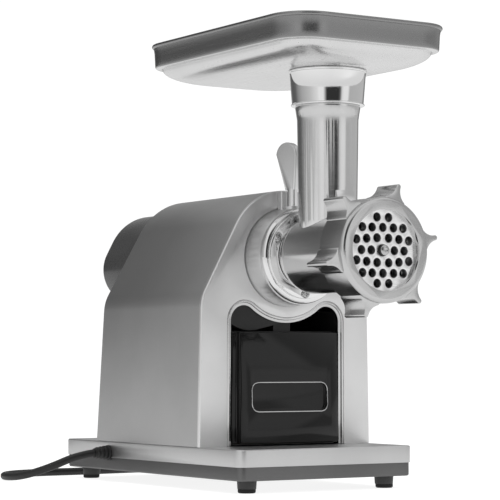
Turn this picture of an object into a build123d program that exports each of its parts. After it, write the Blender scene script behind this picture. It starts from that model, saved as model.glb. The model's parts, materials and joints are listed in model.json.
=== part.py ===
"""Electric meat grinder with a No. 12 grinding head, as an assembly of separate pieces.

Frame: millimetres, +Z up, the head points along -Y, the floor is Z = 0 and the origin is the
middle of the grinder's footprint, at the bottom.
"""
import os
from math import acos, atan2, cos, degrees, hypot, pi, radians, sin, sqrt, tan

from build123d import *

os.makedirs("parts", exist_ok=True)

# ---------------------------------------------------------------- driving dimensions
# base
BASE_HALF_WIDTH = 81.0
BASE_FRONT = -103.0
BASE_REAR = 178.0
BASE_CORNER = 7.0
FOOT_HEIGHT = 9.6
FOOT_RADIUS = 7.4
FOOT_INSET = 16.6
PAD_HEIGHT = 3.0
TRAY_TOP = 20.1
DECK_TOP = 33.3
UNDER_INSET = 1.0
WALL = 2.2

# body
BODY_FRONT = -44.0
PANEL_THICKNESS = 3.0
BODY_REAR_LOW = 121.5
REAR_LEAN = 4.2
SHOULDER_HALF_WIDTH = 78.8
SHOULDER_RADIUS = 30.0
SIDE_SLOPE = 61.5
TOP_RADIUS = 53.5
HEAD_Z = 182.0

# rear cover
COVER_TOP_RADIUS = 45.0
COVER_LOW_RADIUS = 28.0
COVER_HALF_WIDTH = 48.9
COVER_REAR = 173.0

# drawer and its opening in the front panel
OPENING_HALF_WIDTH = 51.0
OPENING_ARC = 52.0
HUMP_X = 39.0
HUMP_TOP = 143.5
BEZEL_WIDTH = 4.5
DRAWER_HALF_WIDTH = 46.0
DRAWER_TOP = 122.6
DRAWER_DEPTH = 104.0
GRIP_HALF_WIDTH = 35.8
GRIP_LOW = 60.0
GRIP_HIGH = 83.0

# head mount
COLLAR_RADIUS = 39.0
COLLAR_FRONT = -64.0
RING_RADIUS = 37.4
RING_FRONT = -71.0
FLANGE_RADIUS = 33.3
SPIGOT_RADIUS = 25.0
FLANGE_SCREW_CIRCLE = 30.0

# grinding head
BARREL_RADIUS = 30.0
CHAMBER_RADIUS = 26.4
THREAD_RADIUS = 36.8
PLATE_RADIUS = 34.5
PLATE_THICKNESS = 7.0
PLATE_FRONT = -173.6
KNIFE_THICKNESS = 6.0
NUT_FRONT = -177.8
NUT_REAR = -148.0
NUT_RADIUS = 39.6
NUT_OPENING = 30.5
LUG_TIP = 52.3
LUG_COUNT = 6
LUG_PHASE = 12.5
FEED_Y = -102.0
FEED_RADIUS_LOW = 22.2
FEED_RADIUS_HIGH = 23.8
FEED_BORE = 19.5
THROAT_RADIUS = 20.5
THROAT_TOP = 211.0
FEED_TOP = 296.5
FEED_LIP_RADIUS = 25.2
FEED_SHOULDER = 9.0
GUSSET_HALF_WIDTH = 8.0
HOLE_RADIUS = 3.4
HOLE_RINGS = ((10.6, 6, 0.0), (17.1, 6, 30.0), (19.6, 6, 0.0), (25.2, 6, 17.8), (25.2, 6, -17.8))

# hopper tray
TRAY_COLLAR_LOW = 296.6
TRAY_COLLAR_TOP = 324.4
TRAY_RIM = 357.6
TRAY_HALF_X = 76.0
TRAY_HALF_Y = 115.0
TRAY_CENTRE_Y = -54.0
TRAY_WALL = 1.4
TRAY_FOOT = 338.0
LEDGE_WIDTH = 5.0
DISH_REACH = 27.0
DISH_FLOOR = 325.4
DISH_STEPS = 6

# drive
PRESSURE_ANGLE = 25.0
ADDENDUM = 0.8
DEDENDUM = 1.0
BACKLASH = 0.12
MOTOR_AXIS = (0.0, 186.0)
MOTOR_TEETH, GEAR_1_TEETH, STAGE_1_MODULE = 9, 57, 0.8
PINION_1_TEETH, GEAR_2_TEETH, STAGE_2_MODULE = 11, 44, 1.25
PINION_2_TEETH, OUTPUT_TEETH, STAGE_3_MODULE = 11, 44, 1.5
AXLE_2_ANGLE = 218.0

# mains lead
CORD_RADIUS = 3.2
CORD_EXIT_Y = 101.0
CORD_EXIT_Z = 24.0
COIL_CENTRE = (24.0, 247.0)
COIL_RADIUS = 36.0


# ---------------------------------------------------------------- shared shapes
def across(y):
    """A sketch plane across the head axis at depth y: local x is world X, local y is world Z."""
    return Plane(origin=(0, y, 0), x_dir=(1, 0, 0), z_dir=(0, -1, 0))


def save(part, name):
    """Label a finished piece and write it to its own file."""
    part.label = name
    export_step(part, f"parts/{name}.step")


def top_tangent(radius):
    """Where the sloping side meets the top arc of the given radius, on the left side."""
    slope = radians(SIDE_SLOPE)
    return (-radius * sin(slope), HEAD_Z + radius * cos(slope))


def body_face(inset):
    """The body's section, inset from the outside: straight flanks, sloping sides, a round top."""
    radius = TOP_RADIUS - inset
    tx, tz = top_tangent(radius)
    slope = radians(SIDE_SLOPE)
    low_x = -(BASE_HALF_WIDTH - inset)
    shoulder_x = -(SHOULDER_HALF_WIDTH - inset)
    shoulder_z = tz - (tx - shoulder_x) * tan(slope)
    left = [(low_x, DECK_TOP), (shoulder_x, shoulder_z), (tx, tz)]
    with BuildSketch() as section:
        with BuildLine():
            FilletPolyline(*left, radius=SHOULDER_RADIUS - inset)
            ThreePointArc((tx, tz), (0, HEAD_Z + radius), (-tx, tz))
            FilletPolyline(*[(-x, z) for x, z in left], radius=SHOULDER_RADIUS - inset)
            Line((low_x, DECK_TOP), (-low_x, DECK_TOP))
        make_face()
    return section.sketch


def cover_face(inset):
    """The rear cover's section: the body's round top and slope, closed by two large low corners."""
    radius = COVER_TOP_RADIUS - inset
    low = COVER_LOW_RADIUS - inset
    slope = radians(SIDE_SLOPE)
    tx, tz = top_tangent(radius)
    cx = -(COVER_HALF_WIDTH - COVER_LOW_RADIUS)
    normal = (-sin(slope), cos(slope))
    reach = normal[0] * tx + normal[1] * tz
    cz = (reach - low - normal[0] * cx) / normal[1]
    side = (cx + low * normal[0], cz + low * normal[1])
    bulge = (low * sin(radians(60)), low * cos(radians(60)))
    with BuildSketch() as section:
        with BuildLine():
            ThreePointArc((tx, tz), (0, HEAD_Z + radius), (-tx, tz))
            Line((tx, tz), side)
            Line((-tx, tz), (-side[0], side[1]))
            ThreePointArc(side, (cx - bulge[0], cz - bulge[1]), (cx, cz - low))
            ThreePointArc((-side[0], side[1]), (-cx + bulge[0], cz - bulge[1]), (-cx, cz - low))
            Line((cx, cz - low), (-cx, cz - low))
        make_face()
    return section.sketch


def rear_plane(offset):
    """The leaning plane of the body's rear face, moved forward by offset."""
    lean = radians(REAR_LEAN)
    normal = (0, cos(lean), sin(lean))
    origin = (0, BODY_REAR_LOW - offset * normal[1], DECK_TOP - offset * normal[2])
    return Plane(origin=origin, x_dir=(1, 0, 0), z_dir=normal)


def opening_face(grow, bottom):
    """The drawer opening: two humps beside a hollow arc that follows the head mount."""
    half = OPENING_HALF_WIDTH + grow
    top = HUMP_TOP + grow
    arc = OPENING_ARC - grow
    hump = half - HUMP_X
    inner_x = HUMP_X - hump + 2.0
    inner_z = HEAD_Z - sqrt(arc ** 2 - inner_x ** 2)
    with BuildSketch() as section:
        with BuildLine():
            for side in (-1, 1):
                Line((side * half, bottom), (side * half, top - hump))
                ThreePointArc((side * half, top - hump), (side * (HUMP_X + hump * 0.6), top - hump * 0.2),
                              (side * HUMP_X, top))
                Spline([(side * HUMP_X, top), (side * inner_x, inner_z)],
                       tangents=[(-side, 0), (-side * (HEAD_Z - inner_z), -inner_x)])
            ThreePointArc((-inner_x, inner_z), (0, HEAD_Z - arc), (inner_x, inner_z))
            Line((-half, bottom), (half, bottom))
        make_face()
    return section.sketch


def gear_face(teeth, module, phase, centre):
    """An involute gear's face about centre (x, z); phase is the angle of one tooth, in degrees."""
    pitch = teeth * module / 2
    base = pitch * cos(radians(PRESSURE_ANGLE))
    tip = pitch + ADDENDUM * module
    root = pitch - DEDENDUM * module
    inv_pitch = tan(radians(PRESSURE_ANGLE)) - radians(PRESSURE_ANGLE)
    half_tooth = pi / (2 * teeth) - BACKLASH / (2 * pitch) + inv_pitch

    def flank(radius):
        """Half the tooth's angle at the given radius."""
        angle = acos(min(1.0, base / radius))
        return half_tooth - (tan(angle) - angle)

    start = max(base, root)
    radii = [start + (tip - start) * step / 3 for step in range(4)]

    def point(radius, angle):
        """A point at a radius and angle about the gear's centre."""
        return (centre[0] + radius * cos(angle), centre[1] + radius * sin(angle))

    with BuildSketch() as section:
        with BuildLine():
            for tooth in range(teeth):
                middle = radians(phase) + 2 * pi * tooth / teeth
                following = middle + 2 * pi / teeth
                foot = flank(start)
                rising = [point(r, middle - flank(r)) for r in radii]
                falling = [point(r, middle + flank(r)) for r in radii]
                if start > root + 1e-6:
                    Line(point(root, middle - foot), rising[0])
                    Line(falling[0], point(root, middle + foot))
                Spline(rising)
                Spline(falling)
                ThreePointArc(rising[-1], point(tip, middle), falling[-1])
                gap = (middle + following) / 2
                ThreePointArc(point(root, middle + foot), point(root, gap), point(root, following - foot))
        make_face()
    return section.sketch


def add_face(face, front, rear, mode=Mode.ADD):
    """Add or cut a ready face, extruded along Y between two depths."""
    extrude(across(rear) * face, amount=rear - front, mode=mode)


def add_disc(centre, radius, front, rear, mode=Mode.ADD):
    """Add or cut a plain cylinder along Y, centred at (x, z), between two depths."""
    with BuildSketch(across(rear)) as disc:
        with Locations(centre):
            Circle(radius)
    extrude(disc.sketch, amount=rear - front, mode=mode)


def add_cone(centre, rear_radius, front_radius, front, rear, mode=Mode.ADD):
    """Add or cut a cone along Y between two depths."""
    with BuildSketch(across(rear)) as rear_disc:
        with Locations(centre):
            Circle(rear_radius)
    with BuildSketch(across(front)) as front_disc:
        with Locations(centre):
            Circle(front_radius)
    loft([rear_disc.sketch, front_disc.sketch], mode=mode)


def mesh_phase(from_centre, to_centre, teeth_from, phase_from, teeth_to):
    """The phase that puts the second gear in mesh with the first, both in degrees."""
    line = degrees(atan2(to_centre[1] - from_centre[1], to_centre[0] - from_centre[0]))
    offset = (line - phase_from) * teeth_from / teeth_to
    return line + 180.0 + 180.0 / teeth_to + offset


def rounded_box(low, high, radius):
    """Add a box between two corners, with its upright edges rounded."""
    with BuildSketch(Plane(((low[0] + high[0]) / 2, (low[1] + high[1]) / 2, low[2]))) as footprint:
        RectangleRounded(high[0] - low[0], high[1] - low[1], radius)
    extrude(footprint.sketch, amount=high[2] - low[2])


def plain_box(low, high, mode=Mode.ADD):
    """Add or cut a plain box between two corners."""
    with BuildSketch(Plane(((low[0] + high[0]) / 2, (low[1] + high[1]) / 2, low[2]))) as footprint:
        Rectangle(high[0] - low[0], high[1] - low[1])
    extrude(footprint.sketch, amount=high[2] - low[2], mode=mode)


# ---------------------------------------------------------------- gear train geometry
OUTPUT_AXIS = (0.0, HEAD_Z)
distance_3 = STAGE_3_MODULE * (PINION_2_TEETH + OUTPUT_TEETH) / 2
distance_2 = STAGE_2_MODULE * (PINION_1_TEETH + GEAR_2_TEETH) / 2
distance_1 = STAGE_1_MODULE * (MOTOR_TEETH + GEAR_1_TEETH) / 2
AXLE_2 = (distance_3 * cos(radians(AXLE_2_ANGLE)), HEAD_Z + distance_3 * sin(radians(AXLE_2_ANGLE)))
span_x = AXLE_2[0] - MOTOR_AXIS[0]
span_z = AXLE_2[1] - MOTOR_AXIS[1]
span = hypot(span_x, span_z)
along = (distance_1 ** 2 - distance_2 ** 2 + span ** 2) / (2 * span)
aside = sqrt(distance_1 ** 2 - along ** 2)
AXLE_1 = (MOTOR_AXIS[0] + (along * span_x - aside * span_z) / span,
          MOTOR_AXIS[1] + (along * span_z + aside * span_x) / span)
print("countershaft axes (x, z):", AXLE_1, AXLE_2)
phase_pinion_2 = mesh_phase(OUTPUT_AXIS, AXLE_2, OUTPUT_TEETH, 0.0, PINION_2_TEETH)
phase_pinion_1 = mesh_phase(AXLE_2, AXLE_1, GEAR_2_TEETH, phase_pinion_2, PINION_1_TEETH)
phase_motor = mesh_phase(AXLE_1, MOTOR_AXIS, GEAR_1_TEETH, phase_pinion_1, MOTOR_TEETH)
OUTPUT_FACE = gear_face(OUTPUT_TEETH, STAGE_3_MODULE, 0.0, OUTPUT_AXIS)
PINION_2_FACE = gear_face(PINION_2_TEETH, STAGE_3_MODULE, phase_pinion_2, AXLE_2)
GEAR_2_FACE = gear_face(GEAR_2_TEETH, STAGE_2_MODULE, phase_pinion_2, AXLE_2)
PINION_1_FACE = gear_face(PINION_1_TEETH, STAGE_2_MODULE, phase_pinion_1, AXLE_1)
GEAR_1_FACE = gear_face(GEAR_1_TEETH, STAGE_1_MODULE, phase_pinion_1, AXLE_1)
MOTOR_FACE = gear_face(MOTOR_TEETH, STAGE_1_MODULE, phase_motor, MOTOR_AXIS)

BODY_OUTER = body_face(0)
BODY_INNER = body_face(WALL)
COVER_OUTER = cover_face(0)
COVER_INNER = cover_face(WALL)
BEZEL_OUTER = opening_face(BEZEL_WIDTH - 0.1, DECK_TOP + 0.1)
BEZEL_LIP = opening_face(BEZEL_WIDTH - 2.2, DECK_TOP - 1)
OPENING = opening_face(0, DECK_TOP - 1)
PANEL_CUT = opening_face(BEZEL_WIDTH, DECK_TOP - 1)

# ---------------------------------------------------------------- base
foot_x = BASE_HALF_WIDTH - FOOT_INSET
foot_y = (BASE_REAR - BASE_FRONT) / 2 - FOOT_INSET
base_y = (BASE_REAR + BASE_FRONT) / 2
base_length = BASE_REAR - BASE_FRONT
FOOT_PLACES = [(x, y) for x in (-foot_x, foot_x) for y in (-foot_y, foot_y)]


def at_feet(z, radius, height, mode=Mode.ADD):
    """Add or cut a round post at each foot."""
    with BuildSketch(Plane((0, base_y, z))) as posts:
        with Locations(*FOOT_PLACES):
            Circle(radius)
    extrude(posts.sketch, amount=height, mode=mode)


with BuildPart() as foot_pads:
    at_feet(0, FOOT_RADIUS - 0.5, PAD_HEIGHT)
    chamfer(foot_pads.faces().filter_by_position(Axis.Z, -0.1, 0.1).edges(), 0.5)
save(foot_pads.part, "foot_pads")

with BuildPart() as foot_posts:
    at_feet(PAD_HEIGHT, FOOT_RADIUS, FOOT_HEIGHT - PAD_HEIGHT)
    at_feet(PAD_HEIGHT, 1.75, FOOT_HEIGHT, mode=Mode.SUBTRACT)
save(foot_posts.part, "foot_posts")

VENT_Y = 60.0
with BuildPart() as base_tray:
    with BuildSketch(Plane((0, base_y, FOOT_HEIGHT))):
        RectangleRounded(2 * (BASE_HALF_WIDTH - UNDER_INSET), base_length - 2 * UNDER_INSET,
                         BASE_CORNER - UNDER_INSET)
    extrude(amount=TRAY_TOP - FOOT_HEIGHT)
    fillet(base_tray.faces().sort_by(Axis.Z)[0].edges(), 1.5)
    with BuildSketch(Plane((0, base_y, FOOT_HEIGHT + WALL))):
        RectangleRounded(2 * (BASE_HALF_WIDTH - UNDER_INSET - WALL), base_length - 2 * (UNDER_INSET + WALL),
                         BASE_CORNER - UNDER_INSET - WALL)
    extrude(amount=TRAY_TOP, mode=Mode.SUBTRACT)
    at_feet(FOOT_HEIGHT + WALL, FOOT_RADIUS, TRAY_TOP - FOOT_HEIGHT - WALL)
    with BuildSketch(Plane((0, VENT_Y, FOOT_HEIGHT))):
        with GridLocations(9, 0, 8, 1):
            SlotOverall(46, 4, rotation=90)
    extrude(amount=WALL, mode=Mode.SUBTRACT)
    at_feet(FOOT_HEIGHT, 1.8, TRAY_TOP, mode=Mode.SUBTRACT)
save(base_tray.part, "base_tray")

GLAND_HOLE = 3.7
with BuildPart() as base_deck:
    with BuildSketch(Plane((0, base_y, TRAY_TOP))):
        RectangleRounded(2 * BASE_HALF_WIDTH, base_length, BASE_CORNER)
    extrude(amount=DECK_TOP - TRAY_TOP)
    chamfer(base_deck.faces().sort_by(Axis.Z)[-1].edges(), 0.8)
    with BuildSketch(Plane((0, base_y, TRAY_TOP))):
        RectangleRounded(2 * (BASE_HALF_WIDTH - WALL), base_length - 2 * WALL, BASE_CORNER - WALL)
    extrude(amount=DECK_TOP - TRAY_TOP - WALL, mode=Mode.SUBTRACT)
    at_feet(TRAY_TOP, FOOT_RADIUS - 1, DECK_TOP - TRAY_TOP - WALL)
    at_feet(TRAY_TOP, 1.8, 9, mode=Mode.SUBTRACT)
    with BuildSketch(Plane((-BASE_HALF_WIDTH, CORD_EXIT_Y, CORD_EXIT_Z), x_dir=(0, 1, 0), z_dir=(1, 0, 0))):
        Circle(GLAND_HOLE)
    extrude(amount=6, both=True, mode=Mode.SUBTRACT)
    with BuildSketch(Plane((30, 85, DECK_TOP))):
        Circle(8)
    extrude(amount=-WALL, mode=Mode.SUBTRACT)
save(base_deck.part, "base_deck")

with BuildPart() as base_screws:
    at_feet(PAD_HEIGHT + 2, 1.7, 22)
save(base_screws.part, "base_screws")

# ---------------------------------------------------------------- body
SWITCH_Y, SWITCH_Z = 36.0, 108.0
SWITCH_WINDOW = (64.0, 32.0)
BODY_REACH = BODY_REAR_LOW + 8
switch_plane = Plane((SHOULDER_HALF_WIDTH, SWITCH_Y, SWITCH_Z), x_dir=(0, 1, 0), z_dir=(1, 0, 0))
with BuildPart() as body_shell:
    add_face(BODY_OUTER, BODY_FRONT + PANEL_THICKNESS, BODY_REACH)
    add_face(BODY_INNER, BODY_FRONT, BODY_REACH + 1, mode=Mode.SUBTRACT)
    split(bisect_by=rear_plane(0), keep=Keep.BOTTOM)
    with BuildSketch(switch_plane):
        RectangleRounded(*SWITCH_WINDOW, 6)
    extrude(amount=8, both=True, mode=Mode.SUBTRACT)
save(body_shell.part, "body_shell")

GROOVE_WIDTH, GROOVE_DEPTH = 0.7, 1.2
with BuildPart() as front_panel:
    add_face(BODY_OUTER, BODY_FRONT, BODY_FRONT + PANEL_THICKNESS)
    rim = front_panel.faces().sort_by(Axis.Y)[0].edges().filter_by(lambda e: e.center().Z > DECK_TOP + 1)
    chamfer(rim, 0.9)
    add_face(PANEL_CUT, BODY_FRONT - 1, BODY_FRONT + PANEL_THICKNESS + 1, mode=Mode.SUBTRACT)
    add_disc(OUTPUT_AXIS, 28, BODY_FRONT - 1, BODY_FRONT + PANEL_THICKNESS + 1, mode=Mode.SUBTRACT)
    # parting groove round the mount's collar
    with BuildSketch(across(BODY_FRONT + GROOVE_DEPTH)):
        with Locations(OUTPUT_AXIS):
            Circle(COLLAR_RADIUS + GROOVE_WIDTH)
            Circle(COLLAR_RADIUS, mode=Mode.SUBTRACT)
    extrude(amount=GROOVE_DEPTH + 1, mode=Mode.SUBTRACT)
    with BuildSketch(across(BODY_FRONT + PANEL_THICKNESS)):
        with Locations(OUTPUT_AXIS):
            with PolarLocations(FLANGE_SCREW_CIRCLE, 3, start_angle=30):
                Circle(2.1)
    extrude(amount=PANEL_THICKNESS, mode=Mode.SUBTRACT)
save(front_panel.part, "front_panel")

with BuildPart() as drawer_bezel:
    add_face(BEZEL_OUTER, BODY_FRONT, BODY_FRONT + PANEL_THICKNESS)
    add_face(BEZEL_LIP, BODY_FRONT - 1, BODY_FRONT + 1.4, mode=Mode.SUBTRACT)
    add_face(OPENING, BODY_FRONT - 1, BODY_FRONT + PANEL_THICKNESS + 1, mode=Mode.SUBTRACT)
save(drawer_bezel.part, "drawer_bezel")

with BuildPart() as rear_panel:
    with BuildSketch(across(BODY_REACH)):
        add(BODY_INNER)
        offset(amount=-0.1, kind=Kind.INTERSECTION, mode=Mode.REPLACE)
    extrude(amount=60)
    split(bisect_by=rear_plane(0), keep=Keep.BOTTOM)
    split(bisect_by=rear_plane(2.4), keep=Keep.TOP)
    add_face(COVER_INNER, 60, BODY_REACH + 5, mode=Mode.SUBTRACT)
save(rear_panel.part, "rear_panel")

with BuildPart() as rear_cover:
    add_face(COVER_OUTER, 80, COVER_REAR)
    fillet(rear_cover.faces().sort_by(Axis.Y)[-1].edges(), 4)
    add_face(COVER_INNER, 70, COVER_REAR - WALL, mode=Mode.SUBTRACT)
    split(bisect_by=rear_plane(0), keep=Keep.TOP)
    with BuildSketch(across(COVER_REAR + 1)):
        with Locations((0, HEAD_Z + 2)):
            with GridLocations(1, 7, 1, 7):
                SlotOverall(48, 3.4)
    extrude(amount=WALL + 3, mode=Mode.SUBTRACT)
save(rear_cover.part, "rear_cover")

# ---------------------------------------------------------------- head mount
LOCK_Y = BODY_FRONT - 9
with BuildPart() as mount_collar:
    add_cone(OUTPUT_AXIS, COLLAR_RADIUS, COLLAR_RADIUS - 1.2, COLLAR_FRONT, BODY_FRONT)
    rounded_box((-9, BODY_FRONT - 7, HEAD_Z + 30), (9, BODY_FRONT, HEAD_Z + 52), 1.5)
    with BuildSketch(Plane((0, LOCK_Y, HEAD_Z + 30))):
        Circle(6.5)
    extrude(amount=10)
    add_disc(OUTPUT_AXIS, SPIGOT_RADIUS + 0.3, COLLAR_FRONT - 1, BODY_FRONT + 1, mode=Mode.SUBTRACT)
    with BuildSketch(Plane((0, LOCK_Y, HEAD_Z))):
        Circle(4.1)
    extrude(amount=60, mode=Mode.SUBTRACT)
    with BuildSketch(across(COLLAR_FRONT - 1)):
        with Locations(OUTPUT_AXIS):
            with PolarLocations(FLANGE_SCREW_CIRCLE, 3, start_angle=30):
                Circle(2.1)
    extrude(amount=-30, mode=Mode.SUBTRACT)
save(mount_collar.part, "mount_collar")

with BuildPart() as mount_ring:
    add_disc(OUTPUT_AXIS, RING_RADIUS, RING_FRONT + 1.2, COLLAR_FRONT)
    fillet(mount_ring.faces().sort_by(Axis.Y)[0].edges(), 3.6)
    add_disc(OUTPUT_AXIS, FLANGE_RADIUS, RING_FRONT, COLLAR_FRONT)
    add_disc(OUTPUT_AXIS, SPIGOT_RADIUS + 0.3, RING_FRONT - 1, COLLAR_FRONT + 1, mode=Mode.SUBTRACT)
    with BuildSketch(across(COLLAR_FRONT)):
        with Locations(OUTPUT_AXIS):
            with PolarLocations(FLANGE_SCREW_CIRCLE, 3, start_angle=30):
                Circle(2.1)
    extrude(amount=12, mode=Mode.SUBTRACT)
save(mount_ring.part, "mount_ring")

SCREW_END = -38.2
with BuildPart() as flange_screws:
    for height, radius, front in ((SCREW_END - RING_FRONT, 2.0, RING_FRONT), (1.8, 3.1, RING_FRONT - 1.8)):
        with BuildSketch(across(front + height)):
            with Locations(OUTPUT_AXIS):
                with PolarLocations(FLANGE_SCREW_CIRCLE, 3, start_angle=30):
                    Circle(radius)
        extrude(amount=height)
    heads = flange_screws.faces().filter_by_position(Axis.Y, RING_FRONT - 2, RING_FRONT - 1.7)
    fillet(heads.edges(), 0.9)
    with BuildSketch(across(RING_FRONT - 0.6)):
        with Locations(OUTPUT_AXIS):
            with PolarLocations(FLANGE_SCREW_CIRCLE, 3, start_angle=30):
                Rectangle(3.4, 0.9)
                Rectangle(0.9, 3.4)
    extrude(amount=3, mode=Mode.SUBTRACT)
save(flange_screws.part, "flange_screws")

LOCK_TIP = HEAD_Z + SPIGOT_RADIUS + 0.3
PADDLE_THICKNESS = 6.4
PADDLE_TURN = radians(15.0)
paddle_plane = Plane((0, LOCK_Y, 0), x_dir=(-sin(PADDLE_TURN), cos(PADDLE_TURN), 0),
                     z_dir=(cos(PADDLE_TURN), sin(PADDLE_TURN), 0))
with BuildPart() as lock_screw:
    with BuildSketch(Plane((0, LOCK_Y, LOCK_TIP))):
        Circle(3.9)
    extrude(amount=29)
    # flat paddle, wider above, leaning back a little
    with BuildSketch(paddle_plane):
        with BuildLine():
            Line((-4.8, 235.2), (-6.2, 262.5))
            ThreePointArc((-6.2, 262.5), (4.8, 273.4), (15.0, 264.0))
            Line((15.0, 264.0), (5.4, 235.2))
            Line((5.4, 235.2), (-4.8, 235.2))
        make_face()
    extrude(amount=PADDLE_THICKNESS / 2, both=True)
    broad_sides = lock_screw.faces().filter_by(paddle_plane)
    fillet(broad_sides.edges().filter_by(lambda e: e.center().Z > 245), 1.2)
save(lock_screw.part, "lock_screw")

# ---------------------------------------------------------------- grinding head
CHAMBER_REAR = -78.0
SPIGOT_REAR = -50.0
CASTING_FRONT = PLATE_FRONT + 1.6
PLATE_REAR = PLATE_FRONT + PLATE_THICKNESS
KNIFE_ROOM = PLATE_REAR + KNIFE_THICKNESS + 1.2
with BuildPart() as barrel:
    with BuildSketch(Plane.YZ):
        with BuildLine():
            Polyline((RING_FRONT - 1.5, HEAD_Z + SPIGOT_RADIUS), (SPIGOT_REAR, HEAD_Z + SPIGOT_RADIUS),
                     (SPIGOT_REAR, HEAD_Z), (CASTING_FRONT, HEAD_Z), (CASTING_FRONT, HEAD_Z + THREAD_RADIUS),
                     (-149, HEAD_Z + THREAD_RADIUS), (-144, HEAD_Z + BARREL_RADIUS),
                     (RING_FRONT - 15, HEAD_Z + BARREL_RADIUS))
            ThreePointArc((RING_FRONT - 15, HEAD_Z + BARREL_RADIUS),
                          (RING_FRONT - 6.5, HEAD_Z + BARREL_RADIUS - 1.5),
                          (RING_FRONT - 1.5, HEAD_Z + SPIGOT_RADIUS))
        make_face()
    revolve(axis=Axis((0, 0, HEAD_Z), (0, 1, 0)))


def feed_hole(radius, top):
    """Cut the feed tube's hole from the head's axis up to a height through the part being built."""
    with BuildSketch(Plane((0, FEED_Y, HEAD_Z))) as mouth:
        Circle(radius)
    extrude(mouth.sketch, amount=top - HEAD_Z, mode=Mode.SUBTRACT)


with BuildPart() as head_casting:
    add(barrel.part)
    feed_hole(THROAT_RADIUS, FEED_TOP)
    add_disc(OUTPUT_AXIS, CHAMBER_RADIUS, CASTING_FRONT - 1, CHAMBER_REAR, mode=Mode.SUBTRACT)
    add_disc(OUTPUT_AXIS, PLATE_RADIUS + 0.1, CASTING_FRONT - 1, KNIFE_ROOM, mode=Mode.SUBTRACT)
    add_disc(OUTPUT_AXIS, 12.0, CHAMBER_REAR - 1, -64, mode=Mode.SUBTRACT)
    add_disc(OUTPUT_AXIS, 17.0, -64, SPIGOT_REAR + 1, mode=Mode.SUBTRACT)
save(head_casting.part, "head_casting")

NECK_RADIUS = 22.0
NECK_HEIGHT = 19.0
LIP_LOW = FEED_TOP - 1.5
with BuildPart() as feed_neck:
    # the tube, and its shoulder curving out to the lip
    for low, low_radius, high, high_radius in (
            (HEAD_Z, FEED_RADIUS_LOW, LIP_LOW - FEED_SHOULDER, FEED_RADIUS_HIGH),
            (LIP_LOW - FEED_SHOULDER, FEED_RADIUS_HIGH, LIP_LOW, FEED_LIP_RADIUS)):
        with BuildSketch(Plane((0, FEED_Y, low))):
            Circle(low_radius)
        with BuildSketch(Plane((0, FEED_Y, high))):
            Circle(high_radius)
        loft()
    # the lip, and the neck that the tray's collar drops over
    for low, radius, high in ((LIP_LOW, FEED_LIP_RADIUS, FEED_TOP), (FEED_TOP, NECK_RADIUS, FEED_TOP + NECK_HEIGHT)):
        with BuildSketch(Plane((0, FEED_Y, low))):
            Circle(radius)
        extrude(amount=high - low)
    # the gusset in front
    with BuildSketch(Plane.YZ):
        with BuildLine():
            Polyline((-144, HEAD_Z + 20), (FEED_Y, HEAD_Z + 20), (FEED_Y, HEAD_Z + 48),
                     (FEED_Y - 23, HEAD_Z + 48))
            ThreePointArc((FEED_Y - 23, HEAD_Z + 48), (-131, HEAD_Z + 37), (-144, HEAD_Z + 33))
            Line((-144, HEAD_Z + 33), (-144, HEAD_Z + 20))
        make_face()
    extrude(amount=GUSSET_HALF_WIDTH, both=True)
    add(barrel.part, mode=Mode.SUBTRACT)
    # the bore widens where it opens into the chamber, over the auger
    feed_hole(FEED_BORE, FEED_TOP + NECK_HEIGHT + 1)
    feed_hole(THROAT_RADIUS, THROAT_TOP)
save(feed_neck.part, "feed_neck")

JOURNAL_RADIUS = 9.0
with BuildPart() as head_bush:
    add_disc(OUTPUT_AXIS, 12.0, CHAMBER_REAR, -64)
    add_disc(OUTPUT_AXIS, JOURNAL_RADIUS + 0.06, CHAMBER_REAR - 1, -63, mode=Mode.SUBTRACT)
save(head_bush.part, "head_bush")

PIN_RADIUS = 4.2
with BuildPart() as cutting_plate:
    add_disc(OUTPUT_AXIS, PLATE_RADIUS, PLATE_FRONT, PLATE_REAR)
    with BuildSketch(across(PLATE_REAR + 1)):
        with Locations(OUTPUT_AXIS):
            for ring_radius, count, start in HOLE_RINGS:
                with PolarLocations(ring_radius, count, start_angle=start):
                    Circle(HOLE_RADIUS)
    extrude(amount=PLATE_THICKNESS + 2, mode=Mode.SUBTRACT)
    add_disc(OUTPUT_AXIS, PIN_RADIUS + 0.06, PLATE_FRONT - 1, PLATE_REAR + 1, mode=Mode.SUBTRACT)
save(cutting_plate.part, "cutting_plate")

# ---------------------------------------------------------------- auger, knife and drive tail
SCREW_FRONT = PLATE_REAR + KNIFE_THICKNESS + 0.3
SCREW_REAR = CHAMBER_REAR - 1.0
FLIGHT_PITCH = 25.0
FLIGHT_RADIUS = 25.4
CORE_RADIUS = 11.0
with BuildSketch() as flight_section:
    Circle(CORE_RADIUS)
    with BuildLine():
        root_angle, tip_angle = radians(48), radians(24)
        Line((0, 0), (CORE_RADIUS * cos(root_angle), CORE_RADIUS * sin(root_angle)))
        Line((CORE_RADIUS * cos(root_angle), CORE_RADIUS * sin(root_angle)),
             (FLIGHT_RADIUS * cos(tip_angle), FLIGHT_RADIUS * sin(tip_angle)))
        ThreePointArc((FLIGHT_RADIUS * cos(tip_angle), FLIGHT_RADIUS * sin(tip_angle)), (FLIGHT_RADIUS, 0),
                      (FLIGHT_RADIUS * cos(tip_angle), -FLIGHT_RADIUS * sin(tip_angle)))
        Line((FLIGHT_RADIUS * cos(tip_angle), -FLIGHT_RADIUS * sin(tip_angle)),
             (CORE_RADIUS * cos(root_angle), -CORE_RADIUS * sin(root_angle)))
        Line((CORE_RADIUS * cos(root_angle), -CORE_RADIUS * sin(root_angle)), (0, 0))
    make_face()
flight_length = SCREW_REAR - SCREW_FRONT - 4
flight_wire = (across(SCREW_REAR - 2) * Location((0, HEAD_Z, 0)) * flight_section.face()).outer_wire()
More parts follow.
